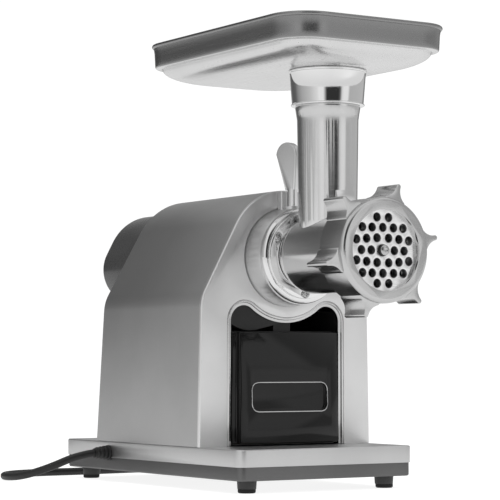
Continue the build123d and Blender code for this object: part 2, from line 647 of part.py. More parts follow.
flight = Solid.extrude_linear_with_rotation(flight_wire, (0, SCREW_REAR - 2, HEAD_Z), (0, -flight_length, 0),
                                            360.0 * flight_length / FLIGHT_PITCH)
with BuildPart() as auger_screw:
    add(flight)
    add_disc(OUTPUT_AXIS, CORE_RADIUS + 2, SCREW_REAR - 2.5, SCREW_REAR)
    add_disc(OUTPUT_AXIS, CORE_RADIUS, SCREW_FRONT, SCREW_FRONT + 3)
    add_disc(OUTPUT_AXIS, JOURNAL_RADIUS, SCREW_REAR - 1, -65)
    with BuildSketch(across(SCREW_FRONT + 1)):
        with Locations(OUTPUT_AXIS):
            Rectangle(9.4, 9.4)
    extrude(amount=SCREW_FRONT + 1 - PLATE_REAR - 0.2)
    add_disc(OUTPUT_AXIS, PIN_RADIUS, PLATE_FRONT - 2.4, PLATE_REAR + 2)
    chamfer(auger_screw.faces().sort_by(Axis.Y)[0].edges(), 0.7)
save(auger_screw.part, "auger_screw")

TAIL_FLATS = 13.8
with BuildPart() as drive_tail:
    with BuildSketch(across(-52)):
        with Locations(OUTPUT_AXIS):
            RegularPolygon(TAIL_FLATS / 2, 6, major_radius=False)
    extrude(amount=13)
save(drive_tail.part, "drive_tail")

BLADE_RADIUS = 31.5
with BuildPart() as cutting_knife:
    with BuildSketch(across(PLATE_REAR + KNIFE_THICKNESS)):
        with Locations(OUTPUT_AXIS):
            Circle(10)
            Rectangle(2 * BLADE_RADIUS, 9)
            Rectangle(9, 2 * BLADE_RADIUS)
    extrude(amount=KNIFE_THICKNESS - 0.1)
    with BuildSketch(across(PLATE_REAR + KNIFE_THICKNESS + 1)):
        with Locations(OUTPUT_AXIS):
            Rectangle(9.5, 9.5)
    extrude(amount=KNIFE_THICKNESS + 2, mode=Mode.SUBTRACT)
save(cutting_knife.part, "cutting_knife")

# ---------------------------------------------------------------- ring nut
LUG_FRONT, LUG_REAR = -173.2, NUT_REAR
FIN_ROOT = NUT_RADIUS - 4
fin_reach = LUG_TIP - FIN_ROOT
with BuildSketch() as fin:
    with BuildLine():
        Line((0, -11), (4.6, -8.5))
        ThreePointArc((4.6, -8.5), (8.6, -3.9), (fin_reach - 1.7, -1.9))
        ThreePointArc((fin_reach - 1.7, -1.9), (fin_reach, 0), (fin_reach - 1.7, 1.9))
        ThreePointArc((fin_reach - 1.7, 1.9), (8.6, 3.9), (4.6, 8.5))
        Polyline((4.6, 8.5), (0, 11), (0, -11))
    make_face()
with BuildPart() as ring_nut:
    add_disc(OUTPUT_AXIS, NUT_RADIUS, NUT_FRONT, NUT_REAR)
    with BuildSketch(across(LUG_REAR)):
        with Locations(OUTPUT_AXIS):
            with PolarLocations(FIN_ROOT, LUG_COUNT, start_angle=LUG_PHASE):
                add(fin.sketch)
    extrude(amount=LUG_REAR - LUG_FRONT)
    fillet(ring_nut.faces().sort_by(Axis.Y)[0].edges(), 3.4)
    add_disc(OUTPUT_AXIS, THREAD_RADIUS + 0.1, PLATE_FRONT, NUT_REAR + 1, mode=Mode.SUBTRACT)
    add_disc(OUTPUT_AXIS, NUT_OPENING, NUT_FRONT - 1, PLATE_FRONT + 1, mode=Mode.SUBTRACT)
save(ring_nut.part, "ring_nut")

# ---------------------------------------------------------------- hopper tray
RIM_CORNER = 30.0
FOOT_INSET_TRAY = 1.8
COLLAR_RADII = (28.4, 30.4)
WALL_RINGS = ((TRAY_HALF_X, TRAY_HALF_Y, RIM_CORNER, TRAY_RIM, TRAY_CENTRE_Y),
              (TRAY_HALF_X - FOOT_INSET_TRAY, TRAY_HALF_Y - FOOT_INSET_TRAY, RIM_CORNER - FOOT_INSET_TRAY,
               TRAY_FOOT, TRAY_CENTRE_Y))
LEDGE_HALF_X, LEDGE_HALF_Y = (edge - LEDGE_WIDTH for edge in WALL_RINGS[1][:2])
LEDGE_Z = TRAY_FOOT - 0.6
# underside: a flat ledge, then a quarter of an ellipse down to the floor, then nearly flat to the collar
DISH = [WALL_RINGS[1]]
for step in range(DISH_STEPS + 1):
    turn = radians(90) * step / DISH_STEPS
    inwards = DISH_REACH * (1 - cos(turn))
    DISH.append((LEDGE_HALF_X - inwards, LEDGE_HALF_Y - inwards, 25.0 + 4.0 * step / DISH_STEPS,
                 LEDGE_Z - (LEDGE_Z - DISH_FLOOR) * sin(turn), TRAY_CENTRE_Y))
DISH.append((COLLAR_RADII[1] + 0.1, COLLAR_RADII[1] + 0.6, COLLAR_RADII[1] - 0.4, TRAY_COLLAR_TOP, FEED_Y))


def pan_solid(rings, inset, mode):
    """Add or cut a straight-sided loft through rounded rectangles, inset and raised by inset."""
    sections = []
    for half_x, half_y, corner, z, centre_y in rings:
        with BuildSketch(Plane((0, centre_y, z + inset))) as ring:
            RectangleRounded(2 * (half_x - inset), 2 * (half_y - inset), corner - inset)
        sections.append(ring.sketch)
    loft(sections, ruled=True, mode=mode)


with BuildPart() as tray_pan:
    pan_solid(WALL_RINGS, 0, Mode.ADD)
    pan_solid(DISH, 0, Mode.ADD)
    pan_solid(WALL_RINGS, TRAY_WALL, Mode.SUBTRACT)
    pan_solid(DISH, TRAY_WALL, Mode.SUBTRACT)
    with BuildSketch(Plane((0, TRAY_CENTRE_Y, TRAY_RIM))):
        RectangleRounded(2 * TRAY_HALF_X, 2 * TRAY_HALF_Y, RIM_CORNER)
    extrude(amount=10, mode=Mode.SUBTRACT)
    with BuildSketch(Plane((0, FEED_Y, TRAY_COLLAR_TOP - 1))):
        Circle(FEED_BORE)
    extrude(amount=12, mode=Mode.SUBTRACT)
save(tray_pan.part, "tray_pan")

with BuildPart() as tray_collar:
    for z, radius in zip((TRAY_COLLAR_LOW, TRAY_COLLAR_TOP), COLLAR_RADII):
        with BuildSketch(Plane((0, FEED_Y, z))):
            Circle(radius)
    loft()
    with BuildSketch(Plane((0, FEED_Y, TRAY_COLLAR_LOW - 1))):
        Circle(NECK_RADIUS + 0.35)
    extrude(amount=FEED_TOP + NECK_HEIGHT - TRAY_COLLAR_LOW + 2, mode=Mode.SUBTRACT)
    with BuildSketch(Plane((0, FEED_Y, TRAY_COLLAR_LOW - 1))):
        Circle(FEED_BORE)
    extrude(amount=40, mode=Mode.SUBTRACT)
save(tray_collar.part, "tray_collar")

# ---------------------------------------------------------------- drawer
FACE_TOP_Y, FACE_LOW_Y = BODY_FRONT - 3.0, BODY_FRONT - 6.7
with BuildPart() as drawer_front:
    with BuildSketch(Plane((-50.4, 0, 0), x_dir=(0, 1, 0), z_dir=(1, 0, 0))):
        Polygon((BODY_FRONT + 4.5, 35.2), (BODY_FRONT + 4.5, DRAWER_TOP), (BODY_FRONT + 1, DRAWER_TOP),
                (BODY_FRONT + 1, 35.2), align=None)
    extrude(amount=100.8)
    with BuildSketch(Plane((-DRAWER_HALF_WIDTH, 0, 0), x_dir=(0, 1, 0), z_dir=(1, 0, 0))):
        Polygon((BODY_FRONT + 4.5, 35.2), (BODY_FRONT + 4.5, DRAWER_TOP), (FACE_TOP_Y, DRAWER_TOP),
                (FACE_LOW_Y, 36.6), (FACE_LOW_Y + 1.2, 35.2), align=None)
    extrude(amount=2 * DRAWER_HALF_WIDTH)
    with BuildSketch(across(BODY_FRONT - 2)):
        with Locations((0, (GRIP_LOW + GRIP_HIGH) / 2)):
            RectangleRounded(2 * GRIP_HALF_WIDTH, GRIP_HIGH - GRIP_LOW, 6)
    extrude(amount=10, mode=Mode.SUBTRACT)
save(drawer_front.part, "drawer_front")

BIN_HALF_WIDTH, BIN_TOP, BIN_WALL = 48.6, 116.0, 2.0
with BuildPart() as drawer_bin:
    plain_box((-BIN_HALF_WIDTH, BODY_FRONT + 4.5, 34.0),
              (BIN_HALF_WIDTH, BODY_FRONT + DRAWER_DEPTH, BIN_TOP))
    plain_box((-BIN_HALF_WIDTH + BIN_WALL, BODY_FRONT + 4.5 + BIN_WALL, 34.0 + BIN_WALL),
              (BIN_HALF_WIDTH - BIN_WALL, BODY_FRONT + DRAWER_DEPTH - BIN_WALL, BIN_TOP + 1), mode=Mode.SUBTRACT)
save(drawer_bin.part, "drawer_bin")

# ---------------------------------------------------------------- gearbox
BOX_FRONT = BODY_FRONT + PANEL_THICKNESS
BOX_REAR = 1.5
BOX_WALL = 2.4
GEAR_CIRCLES = ((OUTPUT_AXIS, 36.0), (AXLE_2, 30.2), (AXLE_1, 25.4), (MOTOR_AXIS, 12.0))


def box_face(grow):
    """The gearbox outline: one skin wrapped round the gears' circles."""
    with BuildSketch() as section:
        for centre, radius in GEAR_CIRCLES:
            with Locations(centre):
                Circle(radius + grow)
        make_hull()
    return section.sketch


BOX_OUTER = box_face(BOX_WALL)
BOX_INNER = box_face(0)
with BuildPart() as gearbox_housing:
    add_face(BOX_OUTER, BOX_FRONT, BOX_REAR)
    add_face(BOX_INNER, BOX_FRONT + 3, BOX_REAR + 1, mode=Mode.SUBTRACT)
    add_disc(OUTPUT_AXIS, 15.0, BOX_FRONT - 5, BOX_FRONT + 1, mode=Mode.ADD)
    add_disc(OUTPUT_AXIS, 13.0, BOX_FRONT - 6, BOX_FRONT + 4, mode=Mode.SUBTRACT)
    add_disc(AXLE_2, 7.0, BOX_FRONT + 2, BOX_FRONT + 3.6)
    add_disc(AXLE_2, 3.0, BOX_FRONT + 1.5, BOX_FRONT + 5, mode=Mode.SUBTRACT)
    with BuildSketch(across(BOX_FRONT + 4)):
        with Locations(OUTPUT_AXIS):
            with PolarLocations(FLANGE_SCREW_CIRCLE, 3, start_angle=30):
                Circle(2.05)
    extrude(amount=6, mode=Mode.SUBTRACT)
save(gearbox_housing.part, "gearbox_housing")

with BuildPart() as gearbox_cover:
    add_face(BOX_OUTER, BOX_REAR, BOX_REAR + 4)
    add_disc(AXLE_2, 7.0, BOX_REAR - 7.5, BOX_REAR + 1)
    add_disc(AXLE_2, 3.0, BOX_REAR - 9, BOX_REAR + 3, mode=Mode.SUBTRACT)
    add_disc(AXLE_1, 3.0, BOX_REAR - 1, BOX_REAR + 3, mode=Mode.SUBTRACT)
    add_disc(MOTOR_AXIS, 6.0, BOX_REAR - 1, BOX_REAR + 5, mode=Mode.SUBTRACT)
save(gearbox_cover.part, "gearbox_cover")

with BuildPart() as gearbox_bracket:
    for side in (-1, 1):
        plain_box((min(side * 52, side * 56), BOX_FRONT + 4, DECK_TOP),
                  (max(side * 52, side * 56), BOX_REAR - 2, 140))
    plain_box((-56, BOX_FRONT + 4, 119.5), (56, BOX_REAR - 2, 123.5))
    plain_box((-8, BOX_FRONT + 4, 123.5), (8, BOX_REAR - 2, 133))
    add_face(BOX_OUTER, BOX_FRONT, BOX_REAR, mode=Mode.SUBTRACT)
save(gearbox_bracket.part, "gearbox_bracket")

with BuildPart() as gear_axles:
    add_disc(AXLE_2, 2.97, BOX_FRONT + 1.6, BOX_REAR + 2.9)
    add_disc(AXLE_1, 2.97, -22.3, BOX_REAR + 2.9)
save(gear_axles.part, "gear_axles")

BUSH_RADIUS = 10.0
with BuildPart() as output_bush:
    add_disc(OUTPUT_AXIS, 13.0, BOX_FRONT - 5, BOX_FRONT + 3)
    add_disc(OUTPUT_AXIS, BUSH_RADIUS + 0.06, BOX_FRONT - 6, BOX_FRONT + 4, mode=Mode.SUBTRACT)
save(output_bush.part, "output_bush")

OUTPUT_GEAR_FRONT, OUTPUT_GEAR_WIDTH = -36.5, 12.0
SOCKET_FRONT = -61.5
with BuildPart() as output_shaft:
    add_disc(OUTPUT_AXIS, 6.0, OUTPUT_GEAR_FRONT, OUTPUT_GEAR_FRONT + OUTPUT_GEAR_WIDTH)
    add_disc(OUTPUT_AXIS, BUSH_RADIUS, OUTPUT_GEAR_FRONT - 0.2, OUTPUT_GEAR_FRONT, mode=Mode.ADD)
    add_disc(OUTPUT_AXIS, BUSH_RADIUS, BOX_FRONT - 6, OUTPUT_GEAR_FRONT)
    add_disc(OUTPUT_AXIS, 14.0, SOCKET_FRONT, BOX_FRONT - 5.5)
    with BuildSketch(across(-50)):
        with Locations(OUTPUT_AXIS):
            RegularPolygon(TAIL_FLATS / 2 + 0.3, 6, major_radius=False)
    extrude(amount=15, mode=Mode.SUBTRACT)
save(output_shaft.part, "output_shaft")

with BuildPart() as output_gear:
    add_face(OUTPUT_FACE, OUTPUT_GEAR_FRONT, OUTPUT_GEAR_FRONT + OUTPUT_GEAR_WIDTH)
    add_disc(OUTPUT_AXIS, 6.0, OUTPUT_GEAR_FRONT - 1, OUTPUT_GEAR_FRONT + OUTPUT_GEAR_WIDTH + 1,
             mode=Mode.SUBTRACT)
save(output_gear.part, "output_gear")

AXLE_BORE = 3.05
with BuildPart() as countershaft_gear_2:
    add_face(PINION_2_FACE, -37.2, -20)
    add_face(GEAR_2_FACE, -20.5, -12)
    add_disc(AXLE_2, AXLE_BORE, -38, -11, mode=Mode.SUBTRACT)
save(countershaft_gear_2.part, "countershaft_gear_2")

with BuildPart() as countershaft_gear_1:
    add_face(PINION_1_FACE, -22, -8)
    add_face(GEAR_1_FACE, -9, 0.5)
    add_disc(AXLE_1, AXLE_BORE, -23, 1, mode=Mode.SUBTRACT)
save(countershaft_gear_1.part, "countershaft_gear_1")

# ---------------------------------------------------------------- motor
SHAFT_RADIUS = 4.0
STATOR_FRONT, STATOR_REAR = 42.0, 82.0
STATOR_RADIUS = 33.0
ROTOR_RADIUS = 19.7
BOLT_CIRCLE = 28.0


def at_bolts(front, rear, radius, mode=Mode.ADD):
    """Add or cut the two long motor bolts' cylinders."""
    with BuildSketch(across(rear)) as bolts:
        with Locations(MOTOR_AXIS):
            with PolarLocations(BOLT_CIRCLE, 2, start_angle=90):
                Circle(radius)
    extrude(bolts.sketch, amount=rear - front, mode=mode)


with BuildPart() as motor_shaft:
    add_face(MOTOR_FACE, -9, 3)
    add_disc(MOTOR_AXIS, 2.6, 2, 12)
    add_disc(MOTOR_AXIS, SHAFT_RADIUS, 9, 121)
save(motor_shaft.part, "motor_shaft")

with BuildPart() as cooling_fan:
    add_disc(MOTOR_AXIS, 9, 20, 32)
    add_disc(MOTOR_AXIS, 25, 30.5, 32)
    with BuildSketch(across(32)):
        with Locations(MOTOR_AXIS):
            with PolarLocations(16, 9):
                Rectangle(18, 1.6, rotation=25)
    extrude(amount=10)
    add_disc(MOTOR_AXIS, SHAFT_RADIUS, 19, 33, mode=Mode.SUBTRACT)
save(cooling_fan.part, "cooling_fan")

with BuildPart() as armature_core:
    add_disc(MOTOR_AXIS, ROTOR_RADIUS, STATOR_FRONT, STATOR_REAR)
    with BuildSketch(across(STATOR_REAR + 1)):
        with Locations(MOTOR_AXIS):
            with PolarLocations(ROTOR_RADIUS - 3, 12):
                SlotOverall(7.5, 2.4)
    extrude(amount=STATOR_REAR - STATOR_FRONT + 2, mode=Mode.SUBTRACT)
    add_disc(MOTOR_AXIS, SHAFT_RADIUS, STATOR_FRONT - 1, STATOR_REAR + 1, mode=Mode.SUBTRACT)
save(armature_core.part, "armature_core")

with BuildPart() as armature_winding:
    for front, rear in ((STATOR_FRONT - 7, STATOR_FRONT), (STATOR_REAR, STATOR_REAR + 6)):
        add_disc(MOTOR_AXIS, 17.5, front, rear)
    fillet(armature_winding.edges().filter_by(GeomType.CIRCLE), 2.2)
    add_disc(MOTOR_AXIS, SHAFT_RADIUS, STATOR_FRONT - 8, STATOR_REAR + 8, mode=Mode.SUBTRACT)
save(armature_winding.part, "armature_winding")

with BuildPart() as commutator:
    add_disc(MOTOR_AXIS, 11, 90, 104)
    with BuildSketch(across(105)):
        with Locations(MOTOR_AXIS):
            with PolarLocations(11, 24):
                Rectangle(2.4, 0.5)
    extrude(amount=16, mode=Mode.SUBTRACT)
    add_disc(MOTOR_AXIS, SHAFT_RADIUS, 89, 105, mode=Mode.SUBTRACT)
save(commutator.part, "commutator")

with BuildPart() as motor_stator:
    add_disc(MOTOR_AXIS, STATOR_RADIUS, STATOR_FRONT, STATOR_REAR)
    add_disc(MOTOR_AXIS, 20.3, STATOR_FRONT - 1, STATOR_REAR + 1, mode=Mode.SUBTRACT)
    with BuildSketch(across(STATOR_REAR + 1)):
        with Locations(MOTOR_AXIS):
            with PolarLocations(24.5, 4, start_angle=45):
                RectangleRounded(8, 11, 1.5)
    extrude(amount=STATOR_REAR - STATOR_FRONT + 2, mode=Mode.SUBTRACT)
    at_bolts(STATOR_FRONT - 1, STATOR_REAR + 1, 2.1, mode=Mode.SUBTRACT)
save(motor_stator.part, "motor_stator")

with BuildPart() as field_windings:
    for front, rear in ((STATOR_FRONT - 6, STATOR_FRONT), (STATOR_REAR, STATOR_REAR + 6)):
        with BuildSketch(across(rear)):
            with Locations(MOTOR_AXIS):
                with PolarLocations(24.5, 2, start_angle=0):
                    RectangleRounded(7, 42, 3)
        extrude(amount=rear - front)
    with BuildSketch(across(STATOR_REAR + 1)):
        with Locations(MOTOR_AXIS):
            with PolarLocations(24.5, 4, start_angle=45):
                RectangleRounded(6.4, 9.4, 1)
    extrude(amount=STATOR_REAR - STATOR_FRONT + 2)
save(field_windings.part, "field_windings")

with BuildPart() as motor_front_bracket:
    with BuildSketch(across(16)):
        with Locations(MOTOR_AXIS):
            RectangleRounded(24, 63, 8)
            Rectangle(62, 16)
    extrude(amount=3)
    add_disc(MOTOR_AXIS, 11.5, 8, 16)
    add_disc(MOTOR_AXIS, 9.5, 9.5, 17, mode=Mode.SUBTRACT)
    add_disc(MOTOR_AXIS, 5.5, 7, 17, mode=Mode.SUBTRACT)
    for side in (-1, 1):
        low, high = sorted((side * 29, side * 31))
        plain_box((low, 13, 178), (high, STATOR_FRONT, 194))
    at_bolts(12, 18, 2.1, mode=Mode.SUBTRACT)
save(motor_front_bracket.part, "motor_front_bracket")

with BuildPart() as motor_rear_bracket:
    with BuildSketch(across(112)):
        with Locations(MOTOR_AXIS):
            RectangleRounded(26, 63, 8)
            Rectangle(50, 22)
    extrude(amount=3)
    add_disc(MOTOR_AXIS, 11.5, 112, 119)
    add_disc(MOTOR_AXIS, 9.5, 109, 117.5, mode=Mode.SUBTRACT)
    add_disc(MOTOR_AXIS, 5.5, 108, 120, mode=Mode.SUBTRACT)
    at_bolts(108, 113, 2.1, mode=Mode.SUBTRACT)
save(motor_rear_bracket.part, "motor_rear_bracket")

with BuildPart() as motor_bearings:
    for front, rear in ((9.6, 15.8), (111, 117)):
        add_disc(MOTOR_AXIS, 9.5, front, rear)
        add_disc(MOTOR_AXIS, SHAFT_RADIUS + 0.05, front - 1, rear + 1, mode=Mode.SUBTRACT)
save(motor_bearings.part, "motor_bearings")

with BuildPart() as motor_bolts:
    at_bolts(10.5, 114, 2.0)
    at_bolts(8, 13, 3.6)
    at_bolts(112, 115.2, 3.4)
save(motor_bolts.part, "motor_bolts")

BRUSH_REACH = 11.1
with BuildPart() as brush_holders:
    for side in (-1, 1):
        low, high = sorted((side * 13.5, side * 25))
        plain_box((low, 92, 180), (high, 109, 192))
        plain_box((low - 1, 94, 182), (high + 1, 102, 190), mode=Mode.SUBTRACT)
save(brush_holders.part, "brush_holders")

with BuildPart() as carbon_brushes:
    for side in (-1, 1):
        low, high = sorted((side * BRUSH_REACH, side * 22))
        plain_box((low, 94.1, 182.1), (high, 101.9, 189.9))
save(carbon_brushes.part, "carbon_brushes")

with BuildPart() as motor_cradle:
    for side in (-1, 1):
        low, high = sorted((side * 52, side * 55))
        plain_box((low, 44, DECK_TOP), (high, 80, 150))
        plain_box((min(side * 30, side * 55), 44, 147), (max(side * 30, side * 55), 80, 150))
        plain_box((min(side * 26, side * 31), 44, 147), (max(side * 26, side * 31), 80, 176))
    add_disc(MOTOR_AXIS, STATOR_RADIUS, 43, 81, mode=Mode.SUBTRACT)
save(motor_cradle.part, "motor_cradle")

# ---------------------------------------------------------------- electrics
with BuildPart() as circuit_board:
    plain_box((-60.6, 46, 66), (-59, 78, 132))
    plain_box((-59, 50, 80), (-55, 56, 86))
    plain_box((-59, 68, 112), (-55, 74, 118))
    plain_box((-72, 50, 104), (-60.6, 68, 122))
    with BuildSketch(Plane((-60.6, 66, 84), x_dir=(0, 1, 0), z_dir=(-1, 0, 0))):
        Circle(7)
    extrude(amount=11)
save(circuit_board.part, "circuit_board")

BUTTON_SIZE = (22.0, 16.0)
BUTTON_PLACES = (SWITCH_Y - 14.5, SWITCH_Y + 14.5)
PANEL_BACK, PANEL_FACE = 74.0, 76.6
with BuildPart() as switch_panel:
    with BuildSketch(Plane((PANEL_BACK, SWITCH_Y, SWITCH_Z), x_dir=(0, 1, 0), z_dir=(1, 0, 0))):
        RectangleRounded(SWITCH_WINDOW[0] + 6, SWITCH_WINDOW[1] + 6, 7)
        with Locations((-14.5, 0), (14.5, 0)):
            RectangleRounded(BUTTON_SIZE[0] + 0.8, BUTTON_SIZE[1] + 0.8, 3.4, mode=Mode.SUBTRACT)
    extrude(amount=PANEL_FACE - PANEL_BACK)
save(switch_panel.part, "switch_panel")

with BuildPart() as switch_blocks:
    for place in BUTTON_PLACES:
        plain_box((57, place - 9, SWITCH_Z - 8), (66.5, place + 9, SWITCH_Z + 8))
    plain_box((55, SWITCH_Y - 26, SWITCH_Z - 11), (57, SWITCH_Y + 26, SWITCH_Z + 11))
save(switch_blocks.part, "switch_blocks")

for place, name in zip(BUTTON_PLACES, ("power_button", "reverse_button")):
    with BuildPart() as button:
        with BuildSketch(Plane((70.0, place, SWITCH_Z), x_dir=(0, 1, 0), z_dir=(1, 0, 0))):
            RectangleRounded(*BUTTON_SIZE, 3)
        extrude(amount=9.6)
        chamfer(button.faces().sort_by(Axis.X)[-1].edges(), 0.8)
    save(button.part, name)

# ---------------------------------------------------------------- mains lead
GLAND_TIP = -94.6
with BuildPart() as strain_relief:
    exit_plane = Plane((-74.5, CORD_EXIT_Y, CORD_EXIT_Z), x_dir=(0, 1, 0), z_dir=(-1, 0, 0))
    with BuildSketch(exit_plane):
        Circle(GLAND_HOLE)
    extrude(amount=8)
    with BuildSketch(exit_plane):
        Circle(5.2)
    extrude(amount=3.0)
    for position, radius in ((-81.0, 6.3), (-84.2, 5.9), (-87.3, 5.4), (-90.4, 4.9)):
        with BuildSketch(Plane((position, CORD_EXIT_Y, CORD_EXIT_Z), x_dir=(0, 1, 0), z_dir=(-1, 0, 0))):
            Circle(radius)
        extrude(amount=2.1)
    with BuildSketch(Plane((-81.5, CORD_EXIT_Y, CORD_EXIT_Z), x_dir=(0, 1, 0), z_dir=(-1, 0, 0))):
        Circle(4.5)
    with BuildSketch(Plane((GLAND_TIP, CORD_EXIT_Y, CORD_EXIT_Z), x_dir=(0, 1, 0), z_dir=(-1, 0, 0))):
        Circle(3.8)
    loft()
save(strain_relief.part, "strain_relief")

CORD_LAY = CORD_RADIUS + 0.1
CORD_ROUTE = [
    (GLAND_TIP, CORD_EXIT_Y, CORD_EXIT_Z),
    (-110.4, 102.2, 22.0),
    (-130.5, 110.8, 12.4),
    (-145.0, 135.0, 4.4),
    (-146.5, 168.0, CORD_LAY),
    (-125.0, 195.5, CORD_LAY),
    (-90.0, 204.5, CORD_LAY),
    (-54.0, 203.0, CORD_LAY),
    (-18.0, 207.5, CORD_LAY),
    (1.5, 212.0, CORD_LAY),
]
corner_radii = []
for before, corner, after in zip(CORD_ROUTE, CORD_ROUTE[1:], CORD_ROUTE[2:]):
    run_in = Vector(*corner) - Vector(*before)
    run_out = Vector(*after) - Vector(*corner)
    half_turn = radians(run_in.get_angle(run_out)) / 2
    corner_radii.append(0.45 * min(run_in.length, run_out.length) / tan(half_turn))
print("cord bend radii:", [round(radius, 1) for radius in corner_radii])
with BuildPart() as power_cord:
    with BuildLine() as cord_path:
        FilletPolyline(*CORD_ROUTE, radius=corner_radii)
    with BuildSketch(Plane(CORD_ROUTE[0], z_dir=cord_path.line % 0)):
        Circle(CORD_RADIUS)
    sweep(path=cord_path.line)
cord_length = cord_path.wires()[0].length
print("cord tube: length", round(cord_length, 1), "volume over section times length",
      round(power_cord.part.volume / (pi * CORD_RADIUS ** 2 * cord_length), 4))
save(power_cord.part, "power_cord")

with BuildPart() as cord_coil:
    with BuildSketch(Plane((*COIL_CENTRE, 0.1))):
        Circle(COIL_RADIUS + 2 * CORD_RADIUS)
        Circle(COIL_RADIUS - 2 * CORD_RADIUS, mode=Mode.SUBTRACT)
    extrude(amount=4 * CORD_RADIUS)
    fillet(cord_coil.edges().filter_by(GeomType.CIRCLE), 2)
save(cord_coil.part, "cord_coil")

PLUG_Y = COIL_CENTRE[1] - 29.4
PLUG_LOW = 0.1 + 4 * CORD_RADIUS
PLUG_AXIS = PLUG_LOW + 8.5
BOOT_START, BODY_START, BODY_END = 14.6, 32.6, 66.6
with BuildPart() as plug_body:
    rounded_box((BODY_START, PLUG_Y - 17, PLUG_LOW), (BODY_END, PLUG_Y + 17, PLUG_LOW + 17), 6)
    fillet(plug_body.faces().sort_by(Axis.Z)[-1].edges(), 3)
    with BuildSketch(Plane((BOOT_START, PLUG_Y, PLUG_AXIS), z_dir=(1, 0, 0))):
        Circle(4.6)
    with BuildSketch(Plane((BODY_START + 1, PLUG_Y, PLUG_AXIS), z_dir=(1, 0, 0))):
        Circle(7.0)
    loft()
save(plug_body.part, "plug_body")

with BuildPart() as plug_pins:
    with BuildSketch(Plane((BODY_END, PLUG_Y, PLUG_AXIS), z_dir=(1, 0, 0))):
        with GridLocations(19, 19, 2, 1):
            Circle(2.4)
    extrude(amount=19)
save(plug_pins.part, "plug_pins")
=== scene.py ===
"""Electric meat grinder: the visual model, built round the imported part.

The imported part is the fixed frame, in metres: +Z is up and the nut faces -Y.
Visible nodes are replaced by finished meshes, and the others get a material.
"""
import json
import logging
import math
from dataclasses import dataclass, field
from enum import Enum
from typing import Any, Callable, Optional, Sequence

import bmesh
import bpy
from mathutils import Matrix, Vector

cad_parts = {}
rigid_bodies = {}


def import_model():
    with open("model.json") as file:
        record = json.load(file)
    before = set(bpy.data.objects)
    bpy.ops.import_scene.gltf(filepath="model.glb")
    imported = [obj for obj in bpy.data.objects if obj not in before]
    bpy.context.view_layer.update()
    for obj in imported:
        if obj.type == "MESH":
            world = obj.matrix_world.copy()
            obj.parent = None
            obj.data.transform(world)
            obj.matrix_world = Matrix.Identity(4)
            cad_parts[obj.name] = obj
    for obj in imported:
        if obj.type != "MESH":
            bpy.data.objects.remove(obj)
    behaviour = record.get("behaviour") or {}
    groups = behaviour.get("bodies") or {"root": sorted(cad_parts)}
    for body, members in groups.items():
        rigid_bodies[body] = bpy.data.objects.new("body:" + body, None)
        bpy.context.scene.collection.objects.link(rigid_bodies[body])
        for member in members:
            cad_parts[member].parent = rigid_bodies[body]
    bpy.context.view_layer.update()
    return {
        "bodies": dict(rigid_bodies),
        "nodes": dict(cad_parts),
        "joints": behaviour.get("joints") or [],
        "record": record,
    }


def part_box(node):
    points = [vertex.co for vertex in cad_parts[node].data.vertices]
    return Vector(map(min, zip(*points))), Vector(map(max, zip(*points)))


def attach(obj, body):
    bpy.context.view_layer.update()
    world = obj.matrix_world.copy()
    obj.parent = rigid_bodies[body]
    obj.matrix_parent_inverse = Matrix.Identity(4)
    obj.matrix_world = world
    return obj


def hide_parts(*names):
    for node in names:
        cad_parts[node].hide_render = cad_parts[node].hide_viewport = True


LOG = logging.getLogger("meat_grinder")
MM = 0.001
Point = tuple[float, float, float]
Pair = tuple[float, float]
Frame = dict[str, Any]


class Turned(Enum):
    """Which way the fine grain of a finish runs."""

    ALONG_X = "x"
    ALONG_Y = "y"
    ALONG_Z = "z"
    EVEN = "even"


class Support(Enum):
    """The bodies that finished pieces ride on."""

    ROOT = "root"
    HEAD = "head"
    TRAY = "tray"
    NUT = "ring_nut"
    DRAWER = "drawer"
    LOCK = "lock_screw"
    AUGER = "auger"
    POWER = "power_button"
    REVERSE = "reverse_button"


# ------------------------------------------------------------------ mesh tools
def new_object(name: str, vertices: Sequence[Point], faces: Sequence[Sequence[int]]) -> bpy.types.Object:
    """Make a mesh object at the origin.

    Args:
        name: the piece's name.
        vertices: corner positions in metres.
        faces: corner numbers of each face.

    Returns:
        The linked object.
    """
    mesh = bpy.data.meshes.new(name)
    mesh.from_pydata([tuple(v) for v in vertices], [], [tuple(f) for f in faces])
    mesh.validate()
    obj = bpy.data.objects.new(name, mesh)
    bpy.context.scene.collection.objects.link(obj)
    return obj


def soften(obj: bpy.types.Object, degrees: float = 32.0) -> bpy.types.Object:
    """Shade smooth, with edges sharper than an angle kept crisp.

    Args:
        obj: the mesh object.
        degrees: the angle between faces past which an edge stays crisp.

    Returns:
        The same object.
    """
    obj.data.shade_smooth()
    obj.data.set_sharp_from_angle(angle=math.radians(degrees))
    return obj


def settle(obj: bpy.types.Object) -> bpy.types.Object:
    """Turn an object's modifiers into its plain mesh.

    Args:
        obj: an object with live modifiers.

    Returns:
        The same object, with a plain mesh and no modifiers.
    """
    bpy.context.view_layer.update()
    depsgraph = bpy.context.evaluated_depsgraph_get()
    mesh = bpy.data.meshes.new_from_object(obj.evaluated_get(depsgraph), depsgraph=depsgraph)
    mesh.name = obj.name
    obj.modifiers.clear()
    obj.data = mesh
    return obj


def bevel(obj: bpy.types.Object, width: float, segments: int = 3, degrees: float = 34.0) -> bpy.types.Object:
    """Round a mesh's edges.

    Args:
        obj: the mesh object.
        width: bevel width in metres.
        segments: steps across the bevel.
        degrees: only edges sharper than this are rounded.

    Returns:
        The same object with a plain bevelled mesh.
    """
    modifier = obj.modifiers.new("edges", "BEVEL")
    modifier.width = width
    modifier.segments = segments
    modifier.limit_method = "ANGLE"
    modifier.angle_limit = math.radians(degrees)
    modifier.miter_outer = "MITER_ARC"
    modifier.harden_normals = False
    return settle(obj)


